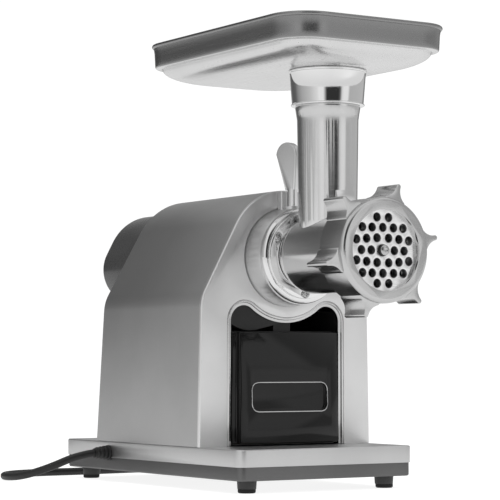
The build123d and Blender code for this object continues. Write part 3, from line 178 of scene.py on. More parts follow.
def finished_copy(frame: Frame, node: str, name: str, edge: float = 0.0, degrees: float = 34.0,
                  keep: Optional[Callable[[Vector], bool]] = None) -> bpy.types.Object:
    """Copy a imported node's mesh, merge it and round its edges.

    Args:
        frame: the loaded frame.
        node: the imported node.
        name: the new piece's name.
        edge: bevel width in metres, or 0 for none.
        degrees: only edges sharper than this are rounded or crisp.
        keep: when given, only loose parts whose middle passes the test stay.

    Returns:
        The new object, which replaces nothing yet.
    """
    source = frame["nodes"][node].data
    obj = new_object(name, [tuple(v.co) for v in source.vertices],
                     [tuple(p.vertices) for p in source.polygons])
    work = bmesh.new()
    work.from_mesh(obj.data)
    bmesh.ops.remove_doubles(work, verts=work.verts[:], dist=4e-6)
    bmesh.ops.dissolve_degenerate(work, edges=work.edges[:], dist=2e-6)
    bmesh.ops.dissolve_limit(work, angle_limit=math.radians(0.4), verts=work.verts[:], edges=work.edges[:])
    if keep:
        doomed = [f for f in work.faces if not keep(f.calc_center_median())]
        bmesh.ops.delete(work, geom=doomed, context="FACES")
    work.to_mesh(obj.data)
    work.free()
    if edge:
        bevel(obj, edge, degrees=degrees)
    return soften(obj, degrees)


def lathe(name: str, profile: Sequence[Pair], steps: int, place: Matrix,
          closed: bool = True) -> bpy.types.Object:
    """Turn a profile round the local Z axis.

    Args:
        name: the piece's name.
        profile: (radius, height) pairs in metres; a radius of 0 is a pole.
        steps: faces round the axis.
        place: where the local frame goes.
        closed: whether the profile's last point joins its first.

    Returns:
        The placed object, smooth shaded.
    """
    vertices: list[Point] = []
    rings: list[list[int]] = []
    for radius, height in profile:
        if radius <= 0:
            vertices.append((0.0, 0.0, height))
            rings.append([len(vertices) - 1])
            continue
        start = len(vertices)
        for step in range(steps):
            angle = math.tau * step / steps
            vertices.append((radius * math.cos(angle), radius * math.sin(angle), height))
        rings.append(list(range(start, start + steps)))
    faces: list[tuple[int, ...]] = []
    count = len(rings) if closed else len(rings) - 1
    for place_in_row in range(count):
        low, high = rings[place_in_row], rings[(place_in_row + 1) % len(rings)]
        for step in range(steps):
            after = (step + 1) % steps
            if len(low) == 1 and len(high) == 1:
                continue
            if len(low) == 1:
                faces.append((low[0], high[after], high[step]))
            elif len(high) == 1:
                faces.append((low[step], low[after], high[0]))
            else:
                faces.append((low[step], low[after], high[after], high[step]))
    obj = new_object(name, vertices, faces)
    obj.data.transform(place)
    outward(obj)
    return soften(obj, 40)


def outward(obj: bpy.types.Object) -> None:
    """Merge doubles and point a closed mesh's faces outwards.

    Args:
        obj: a closed mesh object.
    """
    work = bmesh.new()
    work.from_mesh(obj.data)
    bmesh.ops.remove_doubles(work, verts=work.verts[:], dist=1e-6)
    bmesh.ops.recalc_face_normals(work, faces=work.faces[:])
    work.to_mesh(obj.data)
    work.free()


def arc(centre: Pair, radius: float, start: float, end: float, steps: int) -> list[Pair]:
    """Points along an arc in a profile.

    Args:
        centre: the arc's centre.
        radius: its radius.
        start: first angle in degrees.
        end: last angle in degrees.
        steps: number of stretches.

    Returns:
        steps + 1 points.
    """
    angles = [math.radians(start + (end - start) * i / steps) for i in range(steps + 1)]
    return [(centre[0] + radius * math.cos(a), centre[1] + radius * math.sin(a)) for a in angles]


def facing_front(y: float, z: float) -> Matrix:
    """A frame whose local Z points to -Y, with its centre on the head's axis.

    Args:
        y: the frame's distance along Y in metres.
        z: its height in metres.

    Returns:
        The placing matrix.
    """
    return Matrix.Translation((0.0, y, z)) @ Matrix.Rotation(math.radians(90), 4, "X")


def dress(obj: bpy.types.Object, material: bpy.types.Material, body: Support,
          replaces: Sequence[str] = ()) -> bpy.types.Object:
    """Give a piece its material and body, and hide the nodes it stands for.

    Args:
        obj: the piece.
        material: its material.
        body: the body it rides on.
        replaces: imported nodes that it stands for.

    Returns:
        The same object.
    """
    obj.data.materials.clear()
    obj.data.materials.append(material)
    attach(obj, body.value)
    if replaces:
        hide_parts(*replaces)
    LOG.info("piece %s on %s", obj.name, body.value)
    return obj


# ------------------------------------------------------------ geometry node trees
class PatternTree:
    """A Geometry Nodes tree with named inputs, ended by realizing and a material."""

    def __init__(self, name: str) -> None:
        """Start an empty tree.

        Args:
            name: the tree's name.
        """
        self.tree = bpy.data.node_groups.new(name, "GeometryNodeTree")
        self.tree.interface.new_socket("Geometry", in_out="OUTPUT", socket_type="NodeSocketGeometry")
        self.sockets: dict[str, Any] = {}
        self.inputs = self.tree.nodes.new("NodeGroupInput")

    def add_input(self, name: str, kind: str, value: Any = None) -> None:
        """Add a named input.

        Args:
            name: the input's name.
            kind: the socket type's name.
            value: its default.
        """
        socket = self.tree.interface.new_socket(name, in_out="INPUT", socket_type=kind)
        if value is not None:
            socket.default_value = value
        self.sockets[name] = socket

    def put(self, kind: str, **settings: Any) -> bpy.types.Node:
        """Add a node.

        Args:
            kind: the node's type name.
            **settings: properties set on it.

        Returns:
            The node.
        """
        made = self.tree.nodes.new(kind)
        for key, value in settings.items():
            setattr(made, key, value)
        return made

    def join(self, source: Any, target: Any) -> None:
        """Link an output socket to an input socket.

        Args:
            source: the output socket.
            target: the input socket.
        """
        self.tree.links.new(source, target)

    def given(self, name: str) -> Any:
        """Find the output of the input node with this name.

        Args:
            name: the input's name.

        Returns:
            The socket.
        """
        return self.inputs.outputs[name]

    def math(self, operation: str, first: Any, second: Any = None) -> Any:
        """Add a Math node.

        Args:
            operation: the operation's name.
            first: a socket or a number.
            second: a socket, a number or None.

        Returns:
            The result socket.
        """
        made = self.put("ShaderNodeMath", operation=operation)
        for place, value in enumerate((first, second)):
            if value is None:
                continue
            if isinstance(value, (int, float)):
                made.inputs[place].default_value = value
            else:
                self.join(value, made.inputs[place])
        return made.outputs[0]

    def close(self, geometry: Any) -> None:
        """End the tree: realize the instances and set the material.

        Args:
            geometry: the geometry socket to finish.
        """
        realize = self.put("GeometryNodeRealizeInstances")
        paint = self.put("GeometryNodeSetMaterial")
        out = self.put("NodeGroupOutput")
        self.join(geometry, realize.inputs[0])
        self.join(realize.outputs[0], paint.inputs["Geometry"])
        self.join(self.given("Material"), paint.inputs["Material"])
        self.join(paint.outputs[0], out.inputs[0])

    def grow(self, name: str, values: dict[str, Any]) -> bpy.types.Object:
        """Run the tree on a new object and keep its plain mesh.

        Args:
            name: the new piece's name.
            values: what each named input is set to.

        Returns:
            The object with its plain mesh.
        """
        obj = new_object(name, [], [])
        modifier = obj.modifiers.new("pattern", "NODES")
        modifier.node_group = self.tree
        for key, value in values.items():
            modifier[self.sockets[key].identifier] = value
        return settle(obj)


def ring_tree() -> PatternTree:
    """Build the tree that sets copies of a piece round a circle.

    Returns:
        The tree; its inputs are Piece, Count, Radius, Start and Material.
    """
    made = PatternTree("pieces_on_a_ring")
    made.add_input("Piece", "NodeSocketObject")
    made.add_input("Count", "NodeSocketInt", 3)
    made.add_input("Radius", "NodeSocketFloat", 0.03)
    made.add_input("Start", "NodeSocketFloat", 0.0)
    made.add_input("Material", "NodeSocketMaterial")
    row = made.put("GeometryNodeMeshLine")
    made.join(made.given("Count"), row.inputs["Count"])
    index = made.put("GeometryNodeInputIndex")
    share = made.math("DIVIDE", index.outputs[0], made.given("Count"))
    angle = made.math("ADD", made.math("MULTIPLY", share, math.tau), made.given("Start"))
    place = made.put("ShaderNodeCombineXYZ")
    made.join(made.math("MULTIPLY", made.math("COSINE", angle), made.given("Radius")), place.inputs[0])
    made.join(made.math("MULTIPLY", made.math("SINE", angle), made.given("Radius")), place.inputs[1])
    move = made.put("GeometryNodeSetPosition")
    made.join(row.outputs[0], move.inputs["Geometry"])
    made.join(place.outputs[0], move.inputs["Position"])
    turn = made.put("ShaderNodeCombineXYZ")
    made.join(angle, turn.inputs[2])
    piece = made.put("GeometryNodeObjectInfo", transform_space="ORIGINAL")
    piece.inputs["As Instance"].default_value = True
    made.join(made.given("Piece"), piece.inputs["Object"])
    spread = made.put("GeometryNodeInstanceOnPoints")
    made.join(move.outputs[0], spread.inputs["Points"])
    made.join(piece.outputs["Geometry"], spread.inputs["Instance"])
    made.join(turn.outputs[0], spread.inputs["Rotation"])
    made.close(spread.outputs[0])
    return made


def grid_tree() -> PatternTree:
    """Build the tree that sets copies of a piece on a rectangular grid.

    Returns:
        The tree; its inputs are Piece, Across, Along, Columns, Rows and Material.
    """
    made = PatternTree("pieces_on_a_grid")
    made.add_input("Piece", "NodeSocketObject")
    made.add_input("Across", "NodeSocketFloat", 0.1)
    made.add_input("Along", "NodeSocketFloat", 0.1)
    made.add_input("Columns", "NodeSocketInt", 2)
    made.add_input("Rows", "NodeSocketInt", 2)
    made.add_input("Material", "NodeSocketMaterial")
    grid = made.put("GeometryNodeMeshGrid")
    for name, socket in (("Across", "Size X"), ("Along", "Size Y"),
                         ("Columns", "Vertices X"), ("Rows", "Vertices Y")):
        made.join(made.given(name), grid.inputs[socket])
    piece = made.put("GeometryNodeObjectInfo", transform_space="ORIGINAL")
    piece.inputs["As Instance"].default_value = True
    made.join(made.given("Piece"), piece.inputs["Object"])
    spread = made.put("GeometryNodeInstanceOnPoints")
    made.join(grid.outputs[0], spread.inputs["Points"])
    made.join(piece.outputs["Geometry"], spread.inputs["Instance"])
    made.close(spread.outputs[0])
    return made


@dataclass(frozen=True)
class HoleRing:
    """One ring of holes in the cutting plate.

    Attributes:
        radius: the ring's radius in metres.
        count: how many holes it has.
        start: the first hole's angle in degrees.
    """

    radius: float
    count: int
    start: float


def plate_tree(rings: Sequence[HoleRing]) -> PatternTree:
    """Build the tree that makes a perforated plate from circles.

    Args:
        rings: the hole rings; each gets its own three inputs.

    Returns:
        The tree; its inputs also hold Plate Radius, Hole Radius, Thickness and Material.
    """
    made = PatternTree("perforated_plate")
    made.add_input("Plate Radius", "NodeSocketFloat", 0.03)
    made.add_input("Centre Hole", "NodeSocketFloat", 0.004)
    made.add_input("Hole Radius", "NodeSocketFloat", 0.003)
    made.add_input("Thickness", "NodeSocketFloat", 0.007)
    for number, ring in enumerate(rings, 1):
        made.add_input(f"Ring {number} Radius", "NodeSocketFloat", ring.radius)
        made.add_input(f"Ring {number} Count", "NodeSocketInt", ring.count)
        made.add_input(f"Ring {number} Start", "NodeSocketFloat", math.radians(ring.start))
    made.add_input("Material", "NodeSocketMaterial")
    outer = made.put("GeometryNodeCurvePrimitiveCircle")
    outer.inputs["Resolution"].default_value = 128
    made.join(made.given("Plate Radius"), outer.inputs["Radius"])
    middle = made.put("GeometryNodeCurvePrimitiveCircle")
    middle.inputs["Resolution"].default_value = 48
    made.join(made.given("Centre Hole"), middle.inputs["Radius"])
    hole = made.put("GeometryNodeCurvePrimitiveCircle")
    hole.inputs["Resolution"].default_value = 36
    made.join(made.given("Hole Radius"), hole.inputs["Radius"])
    gather = made.put("GeometryNodeJoinGeometry")
    made.join(outer.outputs[0], gather.inputs[0])
    made.join(middle.outputs[0], gather.inputs[0])
    for number in range(1, len(rings) + 1):
        row = made.put("GeometryNodeMeshLine")
        made.join(made.given(f"Ring {number} Count"), row.inputs["Count"])
        index = made.put("GeometryNodeInputIndex")
        share = made.math("DIVIDE", index.outputs[0], made.given(f"Ring {number} Count"))
        angle = made.math("ADD", made.math("MULTIPLY", share, math.tau), made.given(f"Ring {number} Start"))
        reach = made.given(f"Ring {number} Radius")
        place = made.put("ShaderNodeCombineXYZ")
        made.join(made.math("MULTIPLY", made.math("COSINE", angle), reach), place.inputs[0])
        made.join(made.math("MULTIPLY", made.math("SINE", angle), reach), place.inputs[1])
        move = made.put("GeometryNodeSetPosition")
        made.join(row.outputs[0], move.inputs["Geometry"])
        made.join(place.outputs[0], move.inputs["Position"])
        spread = made.put("GeometryNodeInstanceOnPoints")
        made.join(move.outputs[0], spread.inputs["Points"])
        made.join(hole.outputs[0], spread.inputs["Instance"])
        made.join(spread.outputs[0], gather.inputs[0])
    flat = made.put("GeometryNodeRealizeInstances")
    made.join(gather.outputs[0], flat.inputs[0])
    fill = made.put("GeometryNodeFillCurve")
    made.join(flat.outputs[0], fill.inputs[0])
    thicken = made.put("GeometryNodeExtrudeMesh")
    thicken.inputs["Individual"].default_value = False
    made.join(fill.outputs[0], thicken.inputs["Mesh"])
    made.join(made.given("Thickness"), thicken.inputs["Offset Scale"])
    flip = made.put("GeometryNodeFlipFaces")
    made.join(fill.outputs[0], flip.inputs[0])
    both = made.put("GeometryNodeJoinGeometry")
    made.join(thicken.outputs[0], both.inputs[0])
    made.join(flip.outputs[0], both.inputs[0])
    weld = made.put("GeometryNodeMergeByDistance")
    weld.inputs["Distance"].default_value = 1e-6
    made.join(both.outputs[0], weld.inputs[0])
    made.close(weld.outputs[0])
    return made


# ------------------------------------------------------------------ shader groups
class EffectGroup:
    """A shader node group with named inputs and outputs."""

    def __init__(self, name: str, inputs: dict[str, tuple[str, Any]], outputs: dict[str, str]) -> None:
        """Start the group.

        Args:
            name: the group's name.
            inputs: socket type and default of each input.
            outputs: socket type of each output.
        """
        self.tree = bpy.data.node_groups.new(name, "ShaderNodeTree")
        for key, (kind, value) in inputs.items():
            socket = self.tree.interface.new_socket(key, in_out="INPUT", socket_type=kind)
            if value is not None:
                socket.default_value = value
        for key, kind in outputs.items():
            self.tree.interface.new_socket(key, in_out="OUTPUT", socket_type=kind)
        self.inputs = self.tree.nodes.new("NodeGroupInput").outputs
        self.outputs = self.tree.nodes.new("NodeGroupOutput").inputs

    def put(self, kind: str, **settings: Any) -> bpy.types.Node:
        """Add a node with these properties.

        Args:
            kind: the node's type name.
            **settings: properties set on it.

        Returns:
            The node.
        """
        made = self.tree.nodes.new(kind)
        for key, value in settings.items():
            setattr(made, key, value)
        return made

    def join(self, source: Any, target: Any) -> None:
        """Link two sockets.

        Args:
            source: the output socket.
            target: the input socket.
        """
        self.tree.links.new(source, target)

    def noise(self, vector: Any, scale: Any, detail: float, roughness: float = 0.5) -> Any:
        """Add a noise texture.

        Args:
            vector: the coordinate socket.
            scale: a number or a socket.
            detail: octaves.
            roughness: how strong the finer octaves are.

        Returns:
            The factor socket.
        """
        made = self.put("ShaderNodeTexNoise")
        made.inputs["Detail"].default_value = detail
        made.inputs["Roughness"].default_value = roughness
        if isinstance(scale, (int, float)):
            made.inputs["Scale"].default_value = scale
        else:
            self.join(scale, made.inputs["Scale"])
        self.join(vector, made.inputs["Vector"])
        return made.outputs["Fac"]

    def remap(self, value: Any, low: float, high: float, to_low: Any, to_high: Any) -> Any:
        """Add a Map Range node.

        Args:
            value: the socket to remap.
            low: the value that becomes to_low.
            high: the value that becomes to_high.
            to_low: a number or a socket.
            to_high: a number or a socket.

        Returns:
            The result socket.
        """
        made = self.put("ShaderNodeMapRange", interpolation_type="SMOOTHSTEP")
        self.join(value, made.inputs["Value"])
        made.inputs["From Min"].default_value = low
        made.inputs["From Max"].default_value = high
        for key, wanted in (("To Min", to_low), ("To Max", to_high)):
            if isinstance(wanted, (int, float)):
                made.inputs[key].default_value = wanted
            else:
                self.join(wanted, made.inputs[key])
        return made.outputs["Result"]


def grain_group() -> EffectGroup:
    """Build fine streaks or specks: how rough each spot is, and its height.

    Returns:
        The group.
    """
    group = EffectGroup("fine_grain", {
        "Stretch": ("NodeSocketVector", (1.0, 1.0, 1.0)),
        "Scale": ("NodeSocketFloat", 900.0),
        "Roughness Low": ("NodeSocketFloat", 0.25),
        "Roughness High": ("NodeSocketFloat", 0.4),
    }, {"Roughness": "NodeSocketFloat", "Height": "NodeSocketFloat"})
    place = group.put("ShaderNodeTexCoord")
    stretch = group.put("ShaderNodeVectorMath", operation="MULTIPLY")
    group.join(place.outputs["Object"], stretch.inputs[0])
    group.join(group.inputs["Stretch"], stretch.inputs[1])
    grain = group.noise(stretch.outputs[0], group.inputs["Scale"], 3.0, 0.6)
    group.join(group.remap(grain, 0.3, 0.7, group.inputs["Roughness Low"], group.inputs["Roughness High"]),
               group.outputs["Roughness"])
    group.join(grain, group.outputs["Height"])
    return group


def handling_group() -> EffectGroup:
    """Build broad soft blotches: a colour between two tones, and a mask.

    Returns:
        The group.
    """
    group = EffectGroup("handling_marks", {
        "Tone": ("NodeSocketColor", (0.6, 0.6, 0.6, 1.0)),
        "Second Tone": ("NodeSocketColor", (0.5, 0.5, 0.5, 1.0)),
        "Scale": ("NodeSocketFloat", 14.0),
    }, {"Color": "NodeSocketColor", "Mask": "NodeSocketFloat"})
    place = group.put("ShaderNodeTexCoord")
    cloud = group.noise(place.outputs["Object"], group.inputs["Scale"], 4.0, 0.55)
    mask = group.remap(cloud, 0.35, 0.68, 0.0, 1.0)
    mix = group.put("ShaderNodeMix", data_type="RGBA")
    group.join(mask, mix.inputs["Factor"])
    colours = [s for s in mix.inputs if s.type == "RGBA"]
    group.join(group.inputs["Tone"], colours[0])
    group.join(group.inputs["Second Tone"], colours[1])
    group.join([s for s in mix.outputs if s.type == "RGBA"][0], group.outputs["Color"])
    group.join(mask, group.outputs["Mask"])
    return group


def casting_group() -> EffectGroup:
    """Build the gentle waves and hairline scratches of polished cast metal.

    Returns:
        The group.
    """
    group = EffectGroup("polished_waves", {
        "Wave Scale": ("NodeSocketFloat", 55.0),
        "Roughness Low": ("NodeSocketFloat", 0.08),
        "Roughness High": ("NodeSocketFloat", 0.2),
    }, {"Roughness": "NodeSocketFloat", "Height": "NodeSocketFloat"})
    place = group.put("ShaderNodeTexCoord")
    waves = group.noise(place.outputs["Object"], group.inputs["Wave Scale"], 2.0, 0.4)
    thin = group.put("ShaderNodeVectorMath", operation="MULTIPLY")
    thin.inputs[1].default_value = (40.0, 55.0, 1400.0)
    group.join(place.outputs["Object"], thin.inputs[0])
    scratches = group.noise(thin.outputs[0], 1.0, 5.0, 0.65)
    group.join(group.remap(scratches, 0.45, 0.72,
                           group.inputs["Roughness Low"], group.inputs["Roughness High"]),
               group.outputs["Roughness"])
    group.join(waves, group.outputs["Height"])
    return group


@dataclass(frozen=True)
class EffectKit:
    """The shared shader groups.

    Attributes:
        grain: fine streaks or specks.
        handling: broad soft blotches.
        casting: waves and scratches of polished castings.
    """

    grain: EffectGroup = field(default_factory=grain_group)
    handling: EffectGroup = field(default_factory=handling_group)
    casting: EffectGroup = field(default_factory=casting_group)


STRETCHES: dict[Turned, Point] = {
    Turned.ALONG_X: (0.02, 1.0, 1.0),
    Turned.ALONG_Y: (1.0, 0.02, 1.0),
    Turned.ALONG_Z: (1.0, 1.0, 0.02),
    Turned.EVEN: (1.0, 1.0, 1.0),
}


@dataclass(frozen=True)
class Finish:
    """What every finish shares: two tones, grain and gloss.

    Attributes:
        name: the material's name.
        tone: main linear colour.
        second: the tone that soft blotches bring in.
        low: least roughness.
        high: most roughness.
        metallic: 1 for bare metal and metal paint, 0 for the rest.
        scale: fineness of the grain, per metre.
        runs: which way the grain runs.
        bump: height of the grain in metres.
        coat: clear coat weight.
        specular: dielectric specular level.
    """

    name: str
    tone: Point
    second: Point
    low: float
    high: float
    metallic: float = 1.0
    scale: float = 900.0
    runs: Turned = Turned.EVEN
    bump: float = 2e-5
    coat: float = 0.0
    specular: float = 0.5

    def _start(self) -> tuple[bpy.types.Material, Any, Any]:
        """Make the material and its shader, with the plain values set.

        Returns:
            The material, its node tree and the shader node.
        """
        material = bpy.data.materials.new(self.name)
        material.use_nodes = True
        tree = material.node_tree
        shader = tree.nodes["Principled BSDF"]
        shader.inputs["Metallic"].default_value = self.metallic
        shader.inputs["Coat Weight"].default_value = self.coat
        shader.inputs["Coat Roughness"].default_value = 0.06
        shader.inputs["Specular IOR Level"].default_value = self.specular
        material.diffuse_color = (*self.tone, 1.0)
        return material, tree, shader

    def _colour(self, tree: Any, shader: Any, kit: EffectKit) -> None:
        """Feed the shader's colour from the blotch group.

        Args:
            tree: the material's node tree.
            shader: the shader node.
            kit: the shared groups.
        """
        marks = tree.nodes.new("ShaderNodeGroup")
        marks.node_tree = kit.handling.tree
        marks.inputs["Tone"].default_value = (*self.tone, 1.0)
        marks.inputs["Second Tone"].default_value = (*self.second, 1.0)
        tree.links.new(marks.outputs["Color"], shader.inputs["Base Color"])

    def _relief(self, tree: Any, shader: Any, height: Any) -> None:
        """Feed the shader's normal from a height.

        Args:
            tree: the material's node tree.
            shader: the shader node.
            height: the height socket.
        """
        relief = tree.nodes.new("ShaderNodeBump")
        relief.inputs["Strength"].default_value = 1.0
        relief.inputs["Distance"].default_value = self.bump
        tree.links.new(height, relief.inputs["Height"])
        tree.links.new(relief.outputs["Normal"], shader.inputs["Normal"])

    def build(self, kit: EffectKit) -> bpy.types.Material:
        """Make the material with fine grain.

        Args:
            kit: the shared groups.

        Returns:
            The material.
        """
        material, tree, shader = self._start()
        self._colour(tree, shader, kit)
        grain = tree.nodes.new("ShaderNodeGroup")
        grain.node_tree = kit.grain.tree
        grain.inputs["Stretch"].default_value = STRETCHES[self.runs]
        grain.inputs["Scale"].default_value = self.scale
        grain.inputs["Roughness Low"].default_value = self.low
        grain.inputs["Roughness High"].default_value = self.high
        tree.links.new(grain.outputs["Roughness"], shader.inputs["Roughness"])
        self._relief(tree, shader, grain.outputs["Height"])
        return material


@dataclass(frozen=True)
class PolishedFinish(Finish):
    """Polished metal with gentle waves and hairline scratches."""

    def build(self, kit: EffectKit) -> bpy.types.Material:
        """Make the material with waves and scratches.

        Args:
            kit: the shared groups.

        Returns:
            The material.
        """
        material, tree, shader = self._start()
        self._colour(tree, shader, kit)
        waves = tree.nodes.new("ShaderNodeGroup")
        waves.node_tree = kit.casting.tree
        waves.inputs["Wave Scale"].default_value = self.scale
        waves.inputs["Roughness Low"].default_value = self.low
        waves.inputs["Roughness High"].default_value = self.high
        tree.links.new(waves.outputs["Roughness"], shader.inputs["Roughness"])
        self._relief(tree, shader, waves.outputs["Height"])
        return material


@dataclass(frozen=True)
class TrayFinish(Finish):
    """Satin sheet metal, with painted shade: the upright wall's colour is darkened to stand in for the dark
    reflections it catches.

    Attributes:
        foot: height of the wall's lower edge in metres.
        painted_wall_shade: linear level of the wall's colour, darkened as painted shade.
    """

    foot: float = 0.3380
    painted_wall_shade: float = 0.28

    def _colour(self, tree: Any, shader: Any, kit: EffectKit) -> None:
        """Feed the shader's colour, with painted shade that darkens it above the wall's foot.

        Args:
            tree: the material's node tree.
            shader: the shader node.
            kit: the shared groups.
        """
        super()._colour(tree, shader, kit)
        flat = shader.inputs["Base Color"].links[0].from_socket
        place = tree.nodes.new("ShaderNodeTexCoord")
        split = tree.nodes.new("ShaderNodeSeparateXYZ")
        share = tree.nodes.new("ShaderNodeMapRange")
        mix = tree.nodes.new("ShaderNodeMix")
        mix.data_type = "RGBA"
        tree.links.new(place.outputs["Object"], split.inputs[0])
        tree.links.new(split.outputs["Z"], share.inputs["Value"])
        share.inputs["From Min"].default_value = self.foot + 0.0001
        share.inputs["From Max"].default_value = self.foot + 0.0007
        tree.links.new(share.outputs["Result"], mix.inputs["Factor"])
        first, second = [socket for socket in mix.inputs if socket.type == "RGBA"]
        tree.links.new(flat, first)
        # painted shade: the upright wall above its foot gets a darker colour for the reflections it catches
        second.default_value = (*grey(self.painted_wall_shade), 1.0)
        blended = next(socket for socket in mix.outputs if socket.type == "RGBA")
        tree.links.new(blended, shader.inputs["Base Color"])


def grey(value: float) -> Point:
    """Give a neutral linear colour.

    Args:
        value: the level from 0 to 1.

    Returns:
        Three equal numbers.
    """
    return (value, value, value)


FINISHES: dict[str, Finish] = {f.name: f for f in (
    Finish("body_satin", grey(0.46), grey(0.43), 0.36, 0.46, scale=2600.0, bump=6e-6),
    Finish("panel_satin", grey(0.76), grey(0.72), 0.34, 0.44, scale=2600.0, bump=6e-6),
    Finish("base_satin", grey(0.66), grey(0.62), 0.34, 0.44, scale=2600.0, bump=6e-6),
    Finish("under_band", grey(0.19), grey(0.17), 0.40, 0.52, scale=2200.0, bump=6e-6),
    Finish("rear_paint", grey(0.10), grey(0.08), 0.45, 0.55, scale=2200.0, bump=8e-6),
    Finish("foot_shell", grey(0.045), grey(0.035), 0.42, 0.55, 0.0, 1500.0, bump=1e-5),
    Finish("foot_pad", grey(0.012), grey(0.009), 0.7, 0.85, 0.0, 1500.0, bump=2e-5),
    Finish("cover_gloss", grey(0.050), grey(0.042), 0.24, 0.32, 0.0, 1200.0, bump=4e-6, coat=0.2),
    PolishedFinish("mirror_cast", grey(0.74), grey(0.68), 0.15, 0.21, scale=45.0, bump=1.5e-5),
    PolishedFinish("mirror_turned", grey(0.84), grey(0.80), 0.05, 0.10, scale=30.0, bump=6e-6),
    PolishedFinish("nut_cast", grey(0.60), grey(0.55), 0.19, 0.25, scale=45.0, bump=8e-6),
    PolishedFinish("bright_trim", grey(0.62), grey(0.55), 0.15, 0.25, scale=60.0, bump=5e-6),
    # tray_satin carries painted shade on the tray's upright wall
    TrayFinish("tray_satin", grey(0.72), grey(0.69), 0.22, 0.28, scale=700.0, runs=Turned.ALONG_Y, bump=2e-6),
    Finish("plate_ground", grey(0.90), grey(0.86), 0.26, 0.38, scale=1500.0, runs=Turned.ALONG_X, bump=6e-6),
    Finish("knife_ground", grey(0.025), grey(0.02), 0.42, 0.55, scale=1500.0, runs=Turned.ALONG_X, bump=1e-5),
    Finish("auger_cast", grey(0.05), grey(0.04), 0.45, 0.58, scale=700.0, bump=4e-5),
    Finish("screw_plated", grey(0.55), grey(0.46), 0.20, 0.30, scale=1200.0, bump=6e-6),
    Finish("shaft_turned", grey(0.48), grey(0.40), 0.22, 0.34, scale=1600.0, runs=Turned.ALONG_Z, bump=8e-6),
    Finish("gear_oiled", (0.36, 0.35, 0.33), (0.24, 0.22, 0.19), 0.22, 0.38,
           scale=900.0, bump=1.5e-5, coat=0.3),
    Finish("bush_brass", (0.58, 0.39, 0.15), (0.44, 0.28, 0.10), 0.25, 0.38, scale=1100.0, bump=1e-5),
    Finish("box_plastic", grey(0.012), grey(0.009), 0.45, 0.6, 0.0, 1400.0, bump=1.5e-5),
    Finish("core_iron", (0.14, 0.135, 0.13), (0.09, 0.08, 0.075), 0.42, 0.58,
           scale=1800.0, runs=Turned.ALONG_X, bump=2e-5),
    Finish("wire_copper", (0.52, 0.20, 0.08), (0.38, 0.13, 0.05), 0.25, 0.4,
           scale=1300.0, runs=Turned.ALONG_Y, bump=4e-5),
    Finish("zinc_plate", grey(0.46), (0.38, 0.40, 0.43), 0.26, 0.4, scale=900.0, bump=1e-5),
    Finish("holder_moulded", (0.10, 0.045, 0.022), (0.07, 0.03, 0.015), 0.4, 0.55, 0.0, 1200.0, bump=1.5e-5),
    Finish("brush_carbon", grey(0.02), grey(0.014), 0.55, 0.7, 0.0, 1600.0, bump=2e-5),
    Finish("fan_moulded", grey(0.03), grey(0.022), 0.4, 0.5, 0.0, 1300.0, bump=1e-5),
    Finish("board_lacquer", (0.015, 0.12, 0.045), (0.010, 0.085, 0.03), 0.25, 0.38, 0.0, 900.0,
           bump=1e-5, coat=0.4),
    Finish("switch_moulded", grey(0.016), grey(0.012), 0.38, 0.5, 0.0, 1700.0, bump=1.2e-5),
    Finish("button_red", (0.36, 0.012, 0.012), (0.28, 0.008, 0.008), 0.2, 0.3, 0.0, 1100.0,
           bump=5e-6, coat=0.4),
    Finish("button_grey", grey(0.09), grey(0.07), 0.22, 0.32, 0.0, 1100.0, bump=5e-6, coat=0.3),
    Finish("drawer_smoke", grey(0.008), grey(0.006), 0.07, 0.12, 0.0, 800.0,
           bump=3e-6, coat=0.05, specular=0.3),
    Finish("bin_moulded", grey(0.04), grey(0.03), 0.35, 0.48, 0.0, 1300.0, bump=1e-5),
    Finish("cord_rubber", grey(0.012), grey(0.009), 0.42, 0.55, 0.0, 1700.0, bump=1.2e-5),
    Finish("plug_moulded", grey(0.016), grey(0.012), 0.38, 0.5, 0.0, 1500.0, bump=1.5e-5),
    Finish("pin_nickel", (0.66, 0.62, 0.55), (0.55, 0.51, 0.44), 0.15, 0.25,
           scale=1500.0, runs=Turned.ALONG_X, bump=4e-6),
)}

NODE_FINISHES: dict[str, Sequence[str]] = {
    "screw_plated": ("base_screws", "motor_bolts"),
    "rear_paint": ("rear_panel",),
    "shaft_turned": ("drive_tail", "output_shaft", "gear_axles", "motor_shaft", "motor_bearings"),
    "gear_oiled": ("output_gear", "countershaft_gear_1", "countershaft_gear_2"),
    "bush_brass": ("head_bush", "output_bush"),
    "box_plastic": ("gearbox_housing", "gearbox_cover", "gearbox_bracket", "motor_cradle"),
    "core_iron": ("motor_stator", "armature_core"),
    "wire_copper": ("field_windings", "armature_winding", "commutator"),
    "zinc_plate": ("motor_front_bracket", "motor_rear_bracket"),
    "holder_moulded": ("brush_holders",),
    "brush_carbon": ("carbon_brushes",),
    "fan_moulded": ("cooling_fan",),
    "board_lacquer": ("circuit_board",),
    "switch_moulded": ("switch_blocks",),
    "auger_cast": ("auger_screw",),
    "knife_ground": ("cutting_knife",),
    "bin_moulded": ("drawer_bin",),
}


# ------------------------------------------------------------------------- studio
@dataclass
class Camera:
    """The camera at the product's viewing angle.

    Attributes:
        place: its position in metres.
        heading: degrees from +Y towards +X.
        tilt: degrees above level.
        lens: focal length in millimetres on a 36 mm sensor.
    """

    place: Point = (-0.9109, -1.4146, 0.0998)
    heading: float = 32.6
    tilt: float = 3.07
    lens: float = 149.1

    def build(self) -> None:
        """Make the camera and give it to the scene."""
        data = bpy.data.cameras.new("camera")
        data.lens = self.lens
        data.sensor_width = 36.0
        data.clip_start, data.clip_end = 0.05, 60.0
        camera = bpy.data.objects.new("camera", data)
        camera.location = self.place
        camera.rotation_euler = (math.radians(90 + self.tilt), 0.0, math.radians(-self.heading))
        bpy.context.scene.collection.objects.link(camera)
        bpy.context.scene.camera = camera


